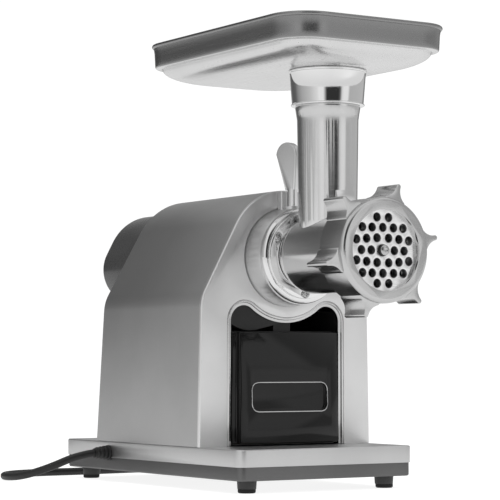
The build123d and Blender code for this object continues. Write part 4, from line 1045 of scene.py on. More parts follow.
@dataclass
class Studio:
    """White surroundings with dark and pale screens, a pale floor and soft lights that no metal mirrors.

    Attributes:
        heading: the middle of the screens, in degrees from +Y towards +X.
        floor_half: half the floor's side in metres.
        floor_glow: the floor's own light in what reflects it.
        floor_white: the floor's own light as the camera sees it.
        dome_edge: sines of the heights where the pale dome begins and is full.
        dome_level: the dome's brightness.
        surround_strength: strength of the surroundings that light the object.
        white_strength: strength of the white that the camera sees.
        screens: (degrees from behind the camera, brightness) pairs round the object.
    """

    heading: float = 32.6
    floor_half: float = 14.0
    floor_glow: float = 0.58
    floor_white: float = 0.86
    dome_edge: Pair = (0.50, 0.80)
    dome_level: float = 0.9
    surround_strength: float = 0.9
    white_strength: float = 1.05
    screens: Sequence[Pair] = (
        (-180, 0.50), (-165, 0.35), (-150, 0.13), (-136, 0.12), (-122, 0.15), (-110, 0.30), (-92, 0.46),
        (-61, 0.63), (-35, 0.88), (-29, 1.0), (-16, 1.0), (-10, 0.42), (-5, 0.04), (32, 0.04), (38, 0.13),
        (45, 0.86), (51, 1.0), (65, 1.0), (72, 0.54), (80, 0.56), (140, 0.60), (158, 0.14), (180, 0.50))

    def _screens(self, tree: Any, factor: Any, stops: Sequence[Pair]) -> Any:
        """Add a ramp of pale and dark screens round the object.

        Args:
            tree: the world's node tree.
            factor: 0 to 1 round the object.
            stops: (degrees from the camera's side, brightness) pairs.

        Returns:
            The colour socket.
        """
        ramp = tree.nodes.new("ShaderNodeValToRGB")
        tree.links.new(factor, ramp.inputs[0])
        elements = ramp.color_ramp.elements
        while len(elements) > 1:
            elements.remove(elements[0])
        for number, (degrees, level) in enumerate(stops):
            spot = (degrees + 180.0) / 360.0
            element = elements[0] if number == 0 else elements.new(spot)
            element.position = spot
            element.color = (level, level, level, 1.0)
        return ramp.outputs[0]

    def _world(self) -> None:
        """Build the surroundings: white to the camera, screens to everything else."""
        world = bpy.data.worlds.new("studio")
        bpy.context.scene.world = world
        world.use_nodes = True
        tree = world.node_tree
        tree.nodes.clear()

        def add(kind: str, **settings: Any) -> Any:
            """Add a node with these properties.

            Args:
                kind: the node's type name.
                **settings: properties set on it.

            Returns:
                The node.
            """
            made = tree.nodes.new(kind)
            for key, value in settings.items():
                setattr(made, key, value)
            return made

        place = add("ShaderNodeTexCoord")
        turn = math.radians(self.heading)
        back, right = (-math.sin(turn), -math.cos(turn), 0.0), (math.cos(turn), -math.sin(turn), 0.0)
        parts = []
        for axis in (right, back):
            dot = add("ShaderNodeVectorMath", operation="DOT_PRODUCT")
            tree.links.new(place.outputs["Generated"], dot.inputs[0])
            dot.inputs[1].default_value = axis
            parts.append(dot.outputs["Value"])
        around = add("ShaderNodeMath", operation="ARCTAN2")
        tree.links.new(parts[0], around.inputs[0])
        tree.links.new(parts[1], around.inputs[1])
        share = add("ShaderNodeMapRange")
        tree.links.new(around.outputs[0], share.inputs["Value"])
        share.inputs["From Min"].default_value = -math.pi
        share.inputs["From Max"].default_value = math.pi
        sides = self._screens(tree, share.outputs["Result"], self.screens)
        split = add("ShaderNodeSeparateXYZ")
        tree.links.new(place.outputs["Generated"], split.inputs[0])

        rise = add("ShaderNodeMapRange", interpolation_type="SMOOTHSTEP")
        tree.links.new(split.outputs["Z"], rise.inputs["Value"])
        rise.inputs["From Min"].default_value, rise.inputs["From Max"].default_value = self.dome_edge
        blend = add("ShaderNodeMix", data_type="RGBA")
        tree.links.new(rise.outputs["Result"], blend.inputs["Factor"])
        below, above = [socket for socket in blend.inputs if socket.type == "RGBA"]
        tree.links.new(sides, below)
        above.default_value = (*grey(self.dome_level), 1.0)
        dome = next(socket for socket in blend.outputs if socket.type == "RGBA")
        seen = add("ShaderNodeLightPath")
        surround, white = add("ShaderNodeBackground"), add("ShaderNodeBackground")
        tree.links.new(dome, surround.inputs["Color"])
        surround.inputs["Strength"].default_value = self.surround_strength
        white.inputs["Color"].default_value = (1, 1, 1, 1)
        white.inputs["Strength"].default_value = self.white_strength
        mix = add("ShaderNodeMixShader")
        tree.links.new(seen.outputs["Is Camera Ray"], mix.inputs[0])
        tree.links.new(surround.outputs[0], mix.inputs[1])
        tree.links.new(white.outputs[0], mix.inputs[2])
        out = add("ShaderNodeOutputWorld")
        tree.links.new(mix.outputs[0], out.inputs["Surface"])

    def _floor(self) -> None:
        """Build the pale floor, bright enough to meet the white surroundings."""
        half = self.floor_half
        floor = new_object("floor", [(-half, -half, 0), (half, -half, 0), (half, half, 0), (-half, half, 0)],
                           [(0, 1, 2, 3)])
        material = bpy.data.materials.new("floor")
        material.use_nodes = True
        shader = material.node_tree.nodes["Principled BSDF"]
        shader.inputs["Base Color"].default_value = (0.30, 0.30, 0.30, 1)
        shader.inputs["Roughness"].default_value = 0.9
        shader.inputs["Specular IOR Level"].default_value = 0.1
        shader.inputs["Emission Color"].default_value = (1, 1, 1, 1)
        tree = material.node_tree
        seen = tree.nodes.new("ShaderNodeLightPath")
        strength = tree.nodes.new("ShaderNodeMapRange")
        tree.links.new(seen.outputs["Is Camera Ray"], strength.inputs["Value"])
        strength.inputs["To Min"].default_value = self.floor_glow
        strength.inputs["To Max"].default_value = self.floor_white
        tree.links.new(strength.outputs["Result"], shader.inputs["Emission Strength"])
        floor.data.materials.append(material)

    def _light(self, name: str, place: Point, target: Point, size: float, power: float) -> None:
        """Add one soft square light.

        Args:
            name: the light's name.
            place: where it stands.
            target: the point it faces.
            size: its side in metres.
            power: its power in watts.
        """
        data = bpy.data.lights.new(name, "AREA")
        data.shape, data.size, data.energy = "SQUARE", size, power
        light = bpy.data.objects.new(name, data)
        light.visible_glossy = False
        light.location = place
        light.rotation_euler = (Vector(target) - Vector(place)).to_track_quat("-Z", "Y").to_euler()
        bpy.context.scene.collection.objects.link(light)

    def build(self) -> None:
        """Build the surroundings, the floor and the lights."""
        bpy.context.scene.view_settings.view_transform = "Standard"
        self._world()
        self._floor()
        self._light("overhead", (-0.2, 0.1, 1.7), (0, 0, 0.15), 1.1, 16)
        self._light("front_fill", (0.9, -1.5, 0.9), (0, -0.1, 0.2), 0.8, 9)


# --------------------------------------------------------------------- mains cord
@dataclass
class MainsCord:
    """The mains cord, its coil behind the base, its strain relief and its plug.

    Attributes:
        diameter: the cord's thickness in metres.
        length: its whole length in metres; not used.
        route: its run over the worktop, in millimetres.
        coil_centre: the coil's middle, in millimetres.
        outer_turn: radius of the wider turns, in millimetres.
        inner_turn: radius of the narrower turns, in millimetres.
    """

    diameter: float = 0.0064
    length: float = 1.2
    route: Sequence[Point] = (
        (-94.6, 101.0, 24.0), (-110.4, 102.2, 22.0), (-130.5, 110.8, 12.4), (-145.0, 135.0, 4.4),
        (-146.5, 168.0, 3.3), (-125.0, 195.5, 3.3), (-90.0, 204.5, 3.3), (-54.0, 203.0, 3.3),
        (-18.0, 207.5, 3.3), (1.5, 209.5, 3.3))
    coil_centre: Pair = (24.0, 247.0)
    outer_turn: float = 39.2
    inner_turn: float = 32.8
    points_a_turn: int = 18
    plug_axis: Point = (14.6, 217.6, 21.4)

    @staticmethod
    def _ease(value: float, start: float, end: float) -> float:
        """Rise smoothly from 0 to 1 between two values."""
        share = min(1.0, max(0.0, (value - start) / (end - start)))
        return share * share * (3 - 2 * share)

    def _coil_points(self) -> list[Point]:
        """Work out the coil's turns and the last bend into the plug.

        Returns:
            Points in millimetres.
        """
        points: list[Point] = []
        step, first, last = 1.0 / self.points_a_turn, 0.03, 3.76
        turn = first
        while turn <= last:
            inward = self._ease(turn, 0.82, 1.08) - self._ease(turn, 2.82, 3.08)
            radius = self.outer_turn + (self.inner_turn - self.outer_turn) * inward
            height = 3.3 + 6.4 * self._ease(turn, 1.84, 2.06)
            angle = math.radians(-95 + 360 * turn)
            points.append((self.coil_centre[0] + radius * math.cos(angle),
                           self.coil_centre[1] + radius * math.sin(angle), height))
            turn += step
        centre, radius = (15.2, 248.4), 30.8
        steps = 5
        for number in range(1, steps + 1):
            share = number / steps
            angle = math.radians(180 + 86 * share)
            points.append((centre[0] + radius * math.cos(angle), centre[1] + radius * math.sin(angle),
                           9.7 + (self.plug_axis[2] - 9.7) * self._ease(share, -0.05, 1.0)))
        points.append((self.plug_axis[0] + 5, self.plug_axis[1], self.plug_axis[2]))
        return points

    def _gland(self, material: bpy.types.Material) -> bpy.types.Object:
        """Build the ribbed, tapered strain relief.

        Args:
            material: its rubber.

        Returns:
            The piece.
        """
        low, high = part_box("strain_relief")
        middle = (low + high) / 2
        length = high.x - low.x
        profile = [(0.0033, 0.0), (0.0050, 0.0), (0.0052, 0.0004), (0.0052, 0.0026),
                   (0.0036, 0.003), (0.0036, 0.0062)]
        ribs, start, end = 4, 0.0066, length - 0.0006
        stride = (end - start) / ribs
        for number in range(ribs):
            base = start + stride * number
            reach = 0.0063 - 0.00042 * number * 1.1
            neck = 0.0047 - 0.0002 * number
            profile += [(reach - 0.0005, base), (reach, base + 0.0005),
                        (reach - 0.0002, base + stride * 0.52),
                        (reach - 0.0008, base + stride * 0.64), (neck, base + stride * 0.72),
                        (neck, base + stride * 0.96)]
        profile += [(0.0038, length), (0.0033, length)]
        place = Matrix.Translation((high.x, middle.y, middle.z)) @ Matrix.Rotation(math.radians(-90), 4, "Y")
        return dress(lathe("gland", profile, 48, place), material, Support.ROOT,
                     ["strain_relief"])

    def build(self, frame: Frame, paints: dict[str, bpy.types.Material]) -> None:
        """Args:
            frame: the loaded frame.
            paints: the materials by name.
        """
        curve = bpy.data.curves.new("mains_cord", "CURVE")
        curve.dimensions = "3D"
        curve.resolution_u = 8
        curve.bevel_depth = self.diameter / 2
        curve.bevel_resolution = 6
        curve.use_fill_caps = True
        points = list(self.route) + self._coil_points()
        spline = curve.splines.new("NURBS")
        spline.points.add(len(points) - 1)
        for spot, point in zip(spline.points, points):
            spot.co = (point[0] * MM, point[1] * MM, point[2] * MM, 1.0)
        spline.order_u = 3
        spline.use_endpoint_u = True
        cord = bpy.data.objects.new("mains_cord", curve)
        bpy.context.scene.collection.objects.link(cord)
        dress(cord, paints["cord_rubber"], Support.ROOT, ["power_cord", "cord_coil"])
        self._gland(paints["cord_rubber"])
        plug = finished_copy(frame, "plug_body", "plug_moulding", 0.0006)
        dress(plug, paints["plug_moulded"], Support.ROOT, ["plug_body"])
        pins = finished_copy(frame, "plug_pins", "plug_prongs", 0.0008)
        dress(pins, paints["pin_nickel"], Support.ROOT, ["plug_pins"])


# ------------------------------------------------------------------- base and body
@dataclass
class Base:
    """Feet, under tray and deck.

    Attributes:
        edge: rounding of the deck's edges in metres.
        foot_steps: faces round a foot.
    """

    edge: float = 0.0011
    foot_steps: int = 40

    def _feet(self, grid: PatternTree, node: str, name: str, profile: Sequence[Pair],
              material: bpy.types.Material) -> None:
        """Set four turned pieces at the corners.

        Args:
            grid: the grid tree.
            node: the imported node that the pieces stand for.
            name: the piece's name.
            profile: (radius, height) pairs.
            material: its finish.
        """
        low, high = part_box(node)
        radius = max(r for r, _ in profile)
        single = lathe(name + "_single", profile, self.foot_steps, Matrix.Identity(4))
        feet = grid.grow(name, {"Piece": single, "Across": high.x - low.x - 2 * radius,
                                "Along": high.y - low.y - 2 * radius, "Columns": 2, "Rows": 2,
                                "Material": material})
        bpy.data.objects.remove(single)
        middle = (low + high) / 2
        feet.data.transform(Matrix.Translation((middle.x, middle.y, low.z)))
        soften(feet, 40)
        dress(feet, material, Support.ROOT, [node])

    def build(self, frame: Frame, paints: dict[str, bpy.types.Material], grid: PatternTree) -> None:
        """Build the base's pieces.

        Args:
            frame: the loaded frame.
            paints: the materials by name.
            grid: the grid tree.
        """
        dress(finished_copy(frame, "base_deck", "deck", self.edge), paints["base_satin"], Support.ROOT,
              ["base_deck"])
        dress(finished_copy(frame, "base_tray", "under_tray", 0.0007), paints["under_band"], Support.ROOT,
              ["base_tray"])
        low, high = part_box("foot_pads")
        pad, top = high.z - low.z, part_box("foot_posts")[1].z - high.z
        soft = [(0, 0), (0.0060, 0), (0.0066, 0.0004), (0.0069, 0.0012), (0.0069, pad), (0, pad)]
        hard = [(0, 0), (0.0070, 0), (0.0072, 0.0003), (0.0076, top - 0.0003), (0.0076, top), (0, top)]
        self._feet(grid, "foot_pads", "feet_soft", soft, paints["foot_pad"])
        self._feet(grid, "foot_posts", "feet_hard", hard, paints["foot_shell"])


@dataclass
class Body:
    """The bent metal body, its front panel and the dark cover behind it.

    Attributes:
        seam: rounding of the sheet's edges in metres.
        cover_edge: rounding of the rear cover's edges in metres.
    """

    seam: float = 0.0005
    cover_edge: float = 0.0006

    def build(self, frame: Frame, paints: dict[str, bpy.types.Material]) -> None:
        """Build the body's pieces.

        Args:
            frame: the loaded frame.
            paints: the materials by name.
        """
        dress(finished_copy(frame, "body_shell", "body_skin", self.seam), paints["body_satin"], Support.ROOT,
              ["body_shell"])
        dress(finished_copy(frame, "front_panel", "front_plate", self.seam), paints["panel_satin"],
              Support.ROOT, ["front_panel"])
        dress(finished_copy(frame, "drawer_bezel", "opening_rim", 0.0004), paints["bright_trim"],
              Support.ROOT, ["drawer_bezel"])
        dress(finished_copy(frame, "rear_cover", "motor_cover", self.cover_edge), paints["cover_gloss"],
              Support.ROOT, ["rear_cover"])


@dataclass
class Controls:
    """The switch panel and its two buttons.

    Attributes:
        edge: rounding of the mouldings in metres.
    """

    edge: float = 0.0006

    def build(self, frame: Frame, paints: dict[str, bpy.types.Material]) -> None:
        """Build the controls.

        Args:
            frame: the loaded frame.
            paints: the materials by name.
        """
        dress(finished_copy(frame, "switch_panel", "switch_plate", self.edge), paints["switch_moulded"],
              Support.ROOT, ["switch_panel"])
        dress(finished_copy(frame, "power_button", "power_key", self.edge), paints["button_red"],
              Support.POWER, ["power_button"])
        dress(finished_copy(frame, "reverse_button", "reverse_key", self.edge), paints["button_grey"],
              Support.REVERSE, ["reverse_button"])


@dataclass
class Drawer:
    """The smoked drawer front, with a bright bead round its grip as a painted highlight on the recess's edge.

    Attributes:
        edge: rounding of the front's edges in metres.
        bead: thickness of the bright bead, a painted highlight on the grip recess's edge, in metres.
        grip_half: half width of the grip recess in metres.
        grip_low: its lower edge in metres.
        grip_high: its upper edge in metres.
        corner: its corner radius in metres.
    """

    edge: float = 0.0009
    bead: float = 0.0009
    grip_half: float = 0.0358
    grip_low: float = 0.060
    grip_high: float = 0.083
    corner: float = 0.006
    lean_top: Pair = (-0.0470, 0.1226)
    lean_foot: Pair = (-0.0507, 0.0366)

    def _face_y(self, z: float) -> float:
        """Find the leaning face's place along Y at a height."""
        share = (z - self.lean_foot[1]) / (self.lean_top[1] - self.lean_foot[1])
        return self.lean_foot[0] + share * (self.lean_top[0] - self.lean_foot[0])

    def _grip_highlight_bead(self) -> bpy.types.Object:
        """Run a thin bright bead round the grip recess, a painted highlight standing in for the light caught
        on its edge.

        Returns:
            The bead.
        """
        middle, half_high = (self.grip_low + self.grip_high) / 2, (self.grip_high - self.grip_low) / 2
        line = rounded_outline(self.grip_half, half_high, self.corner, 120)
        count, around = len(line), 10
        vertices: list[Point] = []
        for number, (x, z) in enumerate(line):
            before, after = line[number - 1], line[(number + 1) % count]
            along = Vector((after[0] - before[0], 0.0, after[1] - before[1])).normalized()
            outward_way = Vector((along.z, 0.0, -along.x))
            centre = Vector((x, self._face_y(middle + z), middle + z))
            for step in range(around):
                angle = math.tau * step / around
                offset = outward_way * math.cos(angle) + Vector((0, 1, 0)) * math.sin(angle)
                vertices.append(tuple(centre + offset * self.bead / 2))
        faces = []
        for i in range(count):
            here, there = i * around, (i + 1) % count * around
            for step in range(around):
                beside = (step + 1) % around
                faces.append((here + step, here + beside, there + beside, there + step))
        obj = new_object("grip_bead", vertices, faces)
        outward(obj)
        return soften(obj)

    def build(self, frame: Frame, paints: dict[str, bpy.types.Material]) -> None:
        """Build the drawer's pieces.

        Args:
            frame: the loaded frame.
            paints: the materials by name.
        """
        dress(finished_copy(frame, "drawer_front", "drawer_face", self.edge), paints["drawer_smoke"],
              Support.DRAWER, ["drawer_front"])
        # the bright bead is a painted highlight: it stands in for the light caught on the grip recess's edge
        dress(self._grip_highlight_bead(), paints["bright_trim"], Support.DRAWER)


def rounded_outline(half_x: float, half_y: float, corner: float, count: int) -> list[Pair]:
    """Give points on a rounded rectangle, at equal angles from its middle.

    Args:
        half_x: half its width.
        half_y: half its height.
        corner: its corner radius.
        count: how many points.

    Returns:
        The points, anticlockwise from +X.
    """
    points = []
    for number in range(count):
        angle = math.tau * number / count
        c, s = math.cos(angle), math.sin(angle)
        reach = min(half_x / max(abs(c), 1e-9), half_y / max(abs(s), 1e-9))
        x, y = reach * c, reach * s
        inner_x, inner_y = half_x - corner, half_y - corner
        if abs(x) > inner_x and abs(y) > inner_y:
            centre_x, centre_y = math.copysign(inner_x, c), math.copysign(inner_y, s)
            along = c * centre_x + s * centre_y
            reach = along + math.sqrt(max(0.0, along ** 2 - (centre_x ** 2 + centre_y ** 2 - corner ** 2)))
            x, y = reach * c, reach * s
        points.append((x, y))
    return points


# ------------------------------------------------------------------- grinding head
@dataclass
class Mount:
    """The collar on the front panel, its ring, its screws and the locking screw.

    Attributes:
        edge: rounding of edges in metres.
        screw_circle: radius of the screws' circle in metres.
        screw_head: radius of a screw's head in metres.
        head_rise: height of a screw's head in metres.
        first_screw: where the first screw stands, in degrees.
    """

    edge: float = 0.0007
    screw_circle: float = 0.030
    screw_head: float = 0.0031
    head_rise: float = 0.0018
    first_screw: float = 30.0

    def _screw(self) -> bpy.types.Object:
        """Build one cross-head screw, standing on the local XY plane.

        Returns:
            The screw.
        """
        work = bmesh.new()
        rise, head = self.head_rise, self.screw_head
        half_slot, reach = 0.00045, 0.0018
        cross = [(half_slot, half_slot), (half_slot, reach), (-half_slot, reach), (-half_slot, half_slot),
                 (-reach, half_slot), (-reach, -half_slot), (-half_slot, -half_slot), (-half_slot, -reach),
                 (half_slot, -reach), (half_slot, -half_slot), (reach, -half_slot), (reach, half_slot)]
        steps = 32
        levels = [(head * 0.76, rise), (head * 0.90, rise * 0.88), (head * 0.98, rise * 0.62),
                  (head, rise * 0.3), (head, 0.0)]
        rings = [[work.verts.new((r * math.cos(math.tau * i / steps), r * math.sin(math.tau * i / steps), z))
                  for i in range(steps)] for r, z in levels]
        mouth = [work.verts.new((x, y, rise)) for x, y in cross]
        floor = [work.verts.new((x * 0.8, y * 0.8, rise * 0.35)) for x, y in cross]
        edges = [work.edges.new((ring[i], ring[(i + 1) % len(ring)])) for ring in (rings[0], mouth)
                 for i in range(len(ring))]
        bmesh.ops.triangle_fill(work, edges=edges, use_beauty=True)
        for low, high in zip(rings, rings[1:]):
            for i in range(steps):
                work.faces.new((low[i], high[i], high[(i + 1) % steps], low[(i + 1) % steps]))
        for i in range(len(cross)):
            after = (i + 1) % len(cross)
            work.faces.new((mouth[i], mouth[after], floor[after], floor[i]))
        work.faces.new(floor)
        work.faces.new(list(reversed(rings[-1])))
        inside = [f for f in work.faces if len(f.verts) == 3
                  and max(abs(f.calc_center_median().x), abs(f.calc_center_median().y)) < reach
                  and min(abs(f.calc_center_median().x), abs(f.calc_center_median().y)) < half_slot
                  and all(abs(v.co.z - rise) < 1e-9 and v in mouth for v in f.verts)]
        bmesh.ops.delete(work, geom=inside, context="FACES_ONLY")
        bmesh.ops.recalc_face_normals(work, faces=work.faces[:])
        mesh = bpy.data.meshes.new("flange_screw_single")
        work.to_mesh(mesh)
        work.free()
        obj = bpy.data.objects.new("flange_screw_single", mesh)
        bpy.context.scene.collection.objects.link(obj)
        return soften(obj, 30)

    def build(self, frame: Frame, paints: dict[str, bpy.types.Material], ring: PatternTree) -> None:
        """Build the mount's pieces.

        Args:
            frame: the loaded frame.
            paints: the materials by name.
            ring: the ring tree.
        """
        dress(finished_copy(frame, "mount_collar", "mount_hub", self.edge), paints["panel_satin"],
              Support.ROOT, ["mount_collar"])
        dress(finished_copy(frame, "mount_ring", "mount_flange", 0.0005), paints["mirror_turned"],
              Support.ROOT, ["mount_ring"])
        single = self._screw()
        screws = ring.grow("flange_screw_heads", {"Piece": single, "Count": 3, "Radius": self.screw_circle,
                                                  "Start": math.radians(self.first_screw),
                                                  "Material": paints["screw_plated"]})
        bpy.data.objects.remove(single)
        low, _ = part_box("flange_screws")
        axis_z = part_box("output_gear")
        screws.data.transform(facing_front(low.y + self.head_rise, (axis_z[0].z + axis_z[1].z) / 2))
        soften(screws, 30)
        dress(screws, paints["screw_plated"], Support.ROOT, ["flange_screws"])
        dress(finished_copy(frame, "lock_screw", "lock_paddle", 0.0006), paints["mirror_cast"], Support.LOCK,
              ["lock_screw"])


@dataclass
class Head:
    """The cast head, its ribbed nut and the perforated plate.

    Attributes:
        edge: rounding of the casting's edges in metres.
        nut_edge: rounding of the nut's edges in metres.
        plate_radius: the plate's radius in metres.
        hole_radius: radius of a plate hole in metres.
        centre_hole: radius of the middle hole in metres.
        pin_rise: height of the cap on the auger's pin in metres.
        rings: the plate's hole rings.
    """

    edge: float = 0.0009
    nut_edge: float = 0.0010
    plate_radius: float = 0.0345
    hole_radius: float = 0.0034
    centre_hole: float = 0.0043
    pin_rise: float = 0.0012
    rings: Sequence[HoleRing] = (
        HoleRing(0.0106, 6, 0.0), HoleRing(0.0171, 6, 30.0), HoleRing(0.0196, 6, 0.0),
        HoleRing(0.0252, 6, 17.8), HoleRing(0.0252, 6, -17.8))

    def _plate(self, material: bpy.types.Material) -> bpy.types.Object:
        """Grow the perforated plate and set it in the head.

        Args:
            material: its finish.

        Returns:
            The plate.
        """
        low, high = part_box("cutting_plate")
        plate = plate_tree(self.rings).grow("hole_plate", {
            "Plate Radius": self.plate_radius, "Centre Hole": self.centre_hole,
            "Hole Radius": self.hole_radius,
            "Thickness": high.y - low.y, "Material": material})
        plate.data.transform(facing_front(high.y, (low.z + high.z) / 2))
        outward(plate)
        bevel(plate, 0.0003, 2)
        return soften(plate, 30)

    def _pin(self) -> bpy.types.Object:
        """Turn the worn cap on the auger's pin, in the middle of the plate.

        Returns:
            The cap.
        """
        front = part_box("auger_screw")[0]
        low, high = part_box("cutting_plate")
        radius, rise = self.centre_hole - 0.0004, self.pin_rise
        profile = [(0, 0), (radius * 0.86, 0), (radius, rise * 0.3), (radius * 0.9, rise * 0.7),
                   (radius * 0.45, rise), (radius * 0.3, rise * 0.7), (0, rise * 0.6)]
        return lathe("pin_cap", profile, 40, facing_front(front.y, (low.z + high.z) / 2))

    def build(self, frame: Frame, paints: dict[str, bpy.types.Material]) -> None:
        """Build the head's pieces.

        Args:
            frame: the loaded frame.
            paints: the materials by name.
        """
        for node, name in (("head_casting", "head_barrel"), ("feed_neck", "feed_tube")):
            dress(finished_copy(frame, node, name, self.edge), paints["mirror_cast"], Support.HEAD,
                  [node])
        dress(finished_copy(frame, "ring_nut", "ribbed_nut", self.nut_edge), paints["nut_cast"], Support.NUT,
              ["ring_nut"])
        dress(self._plate(paints["plate_ground"]), paints["plate_ground"], Support.HEAD,
              ["cutting_plate"])
        dress(self._pin(), paints["screw_plated"], Support.AUGER)


@dataclass
class Hopper:
    """The wide tray with its rolled rim and ledge, and the collar under it.

    Attributes:
        half_x: half the rim's width in metres.
        half_y: half the rim's length in metres.
        corner: the rim's corner radius in metres.
        wall: the sheet's thickness in metres.
        bead: radius of the rolled rim in metres.
        wall_foot: height of the wall's lower edge in metres.
        draft: how far the wall leans in, in metres.
        ledge: width of the flat ledge under the wall in metres.
        ledge_drop: how far the ledge falls across its width, in metres.
        crease: depth of the groove at the ledge's inner edge in metres.
        reach: how far the curved underside reaches in, in metres.
        floor: height of the floor's outline in metres.
        round_end: radius of the floor's last ring, over the collar, in metres.
        neck: radius of the hole in metres.
        collar_taper: how much narrower the collar is at its foot, in metres.
        points: points round the tray.
        curve_rings: rings down the curved underside.
        floor_rings: rings across the floor.
    """

    half_x: float = 0.0760
    half_y: float = 0.1150
    corner: float = 0.030
    wall: float = 0.0012
    bead: float = 0.0017
    wall_foot: float = 0.3380
    draft: float = 0.0010
    ledge: float = 0.0046
    ledge_drop: float = 0.0006
    crease: float = 0.0005
    reach: float = 0.0270
    floor: float = 0.3254
    round_end: float = 0.0300
    neck: float = 0.0195
    collar_taper: float = 0.0020
    points: int = 256
    curve_rings: int = 14
    floor_rings: int = 8

    def _ring(self, inset: float, height: float, corner: float, share: float = 0.0) -> list[Point]:
        """Give one ring of points.

        Args:
            inset: how far inside the rim's outline.
            height: its height.
            corner: its corner radius.
            share: 0 for that outline, 1 for the round end at the collar.

        Returns:
            The ring's points.
        """
        middle_y = sum(v.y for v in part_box("tray_pan")) / 2
        neck_y = sum(v.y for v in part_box("tray_collar")) / 2
        half_x = (self.half_x - inset) * (1 - share) + self.round_end * share
        half_y = (self.half_y - inset) * (1 - share) + self.round_end * share
        corner = min(corner + (self.round_end - corner) * share, min(half_x, half_y) - 1e-6)
        centre_y = middle_y * (1 - share) + neck_y * share
        return [(x, centre_y + y, height) for x, y in rounded_outline(half_x, half_y, corner, self.points)]

    def _wall_rings(self, skin: float) -> list[list[Point]]:
        """Give the upright wall's rings, from under the bead to the ledge's inner edge.

        Args:
            skin: 0 for the outside, the sheet's thickness for the inside.

        Returns:
            The rings, downwards.
        """
        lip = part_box("tray_pan")[1].z - 2 * self.bead
        foot = self.bead + self.draft
        rows = [(self.bead + 0.0002 + (self.draft - 0.0002) * step / 4,
                 lip + (self.wall_foot + 0.0016 - lip) * step / 4) for step in range(1, 5)]
        rows += [(foot + 0.0003, self.wall_foot + 0.0006), (foot + 0.0009, self.wall_foot),
                 (foot + self.ledge * 0.6, self.wall_foot - self.ledge_drop / 2),
                 (foot + self.ledge, self.wall_foot - self.ledge_drop)]
        lifted = [(inset + skin, height + skin * 0.8) for inset, height in rows]
        return [self._ring(inset, height, self.corner - inset) for inset, height in lifted]

    def _under_rings(self, skin: float) -> list[list[Point]]:
        """Give the curved underside's and the floor's rings, from the ledge to the collar.

        Args:
            skin: 0 for the outside, the sheet's thickness for the inside.

        Returns:
            The rings, inwards.
        """
        start = self.bead + self.draft + self.ledge
        ledge_height = self.wall_foot - self.ledge_drop
        begin = self.corner - start
        rings = []
        if not skin:
            for along, rise in ((0.0002, self.crease), (0.0007, self.crease)):
                rings.append(self._ring(start + along, ledge_height + rise, begin))
            start += 0.0009
        for step in range(self.curve_rings + 1):
            share = step / self.curve_rings
            turn = math.pi / 2 * share
            inset = start + self.reach * (1 - math.cos(turn)) + skin * math.cos(turn)
            height = ledge_height - (ledge_height - self.floor) * math.sin(turn) + skin * math.sin(turn)
            if skin and not step:
                continue
            rings.append(self._ring(inset, height, begin + 0.006 * share))
        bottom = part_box("tray_pan")[0].z
        for step in range(1, self.floor_rings + 1):
            share = step / self.floor_rings
            rings.append(self._ring(start + self.reach, self.floor + (bottom - self.floor) * share + skin,
                                    begin + 0.006, share))
        return rings

    def _pan(self) -> bpy.types.Object:
        """Build the tray as one closed skin.

        Returns:
            The tray.
        """
        bottom, top = (v.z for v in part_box("tray_pan"))
        neck_y = sum(v.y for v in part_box("tray_collar")) / 2

        def roll(start: float, end: float, steps: int) -> list[list[Point]]:
            """Give rings round the rolled rim.

            Args:
                start: the first angle in degrees.
                end: the last angle in degrees.
                steps: how many steps.

            Returns:
                The rings.
            """
            return [self._ring(self.bead - x, top - self.bead + z, self.corner - self.bead + x)
                    for x, z in arc((0.0, 0.0), self.bead, start, end, steps)]

        hole = [[(self.neck * math.cos(math.tau * i / self.points),
                  neck_y + self.neck * math.sin(math.tau * i / self.points), z)
                 for i in range(self.points)] for z in (bottom, bottom + self.wall)]
        inside = self._wall_rings(self.wall) + self._under_rings(self.wall)
        outside = self._wall_rings(0.0) + self._under_rings(0.0)
        rings = roll(90, -80, 8) + outside + hole + inside[::-1] + roll(180, 96, 5)
        vertices = [p for ring in rings for p in ring]
        faces = []
        for row in range(len(rings)):
            after_row = (row + 1) % len(rings)
            for i in range(self.points):
                after = (i + 1) % self.points
                faces.append((row * self.points + i, row * self.points + after,
                              after_row * self.points + after, after_row * self.points + i))
        obj = new_object("tray", vertices, faces)
        outward(obj)
        return soften(obj, 30)

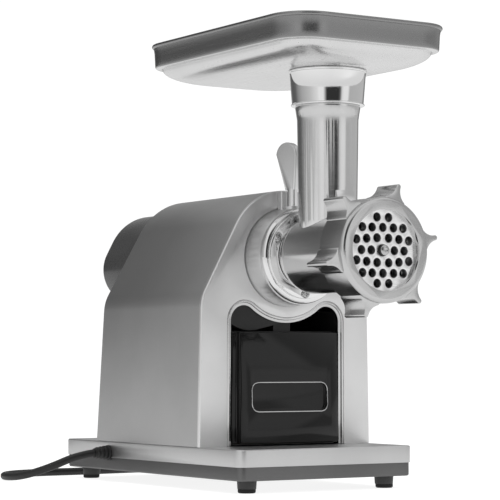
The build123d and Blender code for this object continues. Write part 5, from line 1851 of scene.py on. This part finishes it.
    def _collar(self) -> bpy.types.Object:
        """Turn the polished collar with a bead at each edge.

        Returns:
            The collar.
        """
        low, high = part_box("tray_collar")
        middle = (low + high) / 2
        tall = high.z - low.z
        inner_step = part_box("feed_neck")[1].z + 0.0010 - low.z
        wide = high.x - middle.x
        narrow = wide - self.collar_taper
        profile = [(0.0224, 0.0), (narrow - 0.0006, 0.0), *arc((narrow - 0.0006, 0.0008), 0.0008, -80, 80, 6),
                   (narrow - 0.0006, 0.0022), (wide - 0.0008, tall - 0.0030), (wide - 0.0005, tall - 0.0024),
                   *arc((wide - 0.0010, tall - 0.0011), 0.0010, -70, 80, 6), (wide - 0.0010, tall),
                   (self.neck, tall), (self.neck, inner_step), (0.0224, inner_step)]
        place = Matrix.Translation((middle.x, middle.y, low.z))
        return lathe("hopper_collar", profile, 128, place)

    def build(self, paints: dict[str, bpy.types.Material]) -> None:
        """Build the tray and its collar.

        Args:
            paints: the materials by name.
        """
        dress(self._pan(), paints["tray_satin"], Support.TRAY, ["tray_pan"])
        dress(self._collar(), paints["mirror_turned"], Support.TRAY, ["tray_collar"])


def paint_nodes(frame: Frame, paints: dict[str, bpy.types.Material]) -> None:
    """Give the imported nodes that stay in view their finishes.

    Args:
        frame: the loaded frame.
        paints: the materials by name.
    """
    for finish, nodes in NODE_FINISHES.items():
        for name in nodes:
            node = frame["nodes"][name]
            node.data.materials.clear()
            node.data.materials.append(paints[finish])
            LOG.info("node %s in %s", name, finish)


def main() -> None:
    """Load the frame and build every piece."""
    logging.basicConfig(level=logging.INFO, format="%(name)s: %(message)s")
    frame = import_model()
    Camera().build()
    kit = EffectKit()
    paints = {name: finish.build(kit) for name, finish in FINISHES.items()}
    MainsCord().build(frame, paints)
    Studio().build()
    ring, grid = ring_tree(), grid_tree()
    Base().build(frame, paints, grid)
    Body().build(frame, paints)
    Controls().build(frame, paints)
    Drawer().build(frame, paints)
    Mount().build(frame, paints, ring)
    Head().build(frame, paints)
    Hopper().build(paints)
    paint_nodes(frame, paints)


if __name__ == "__main__":
    main()
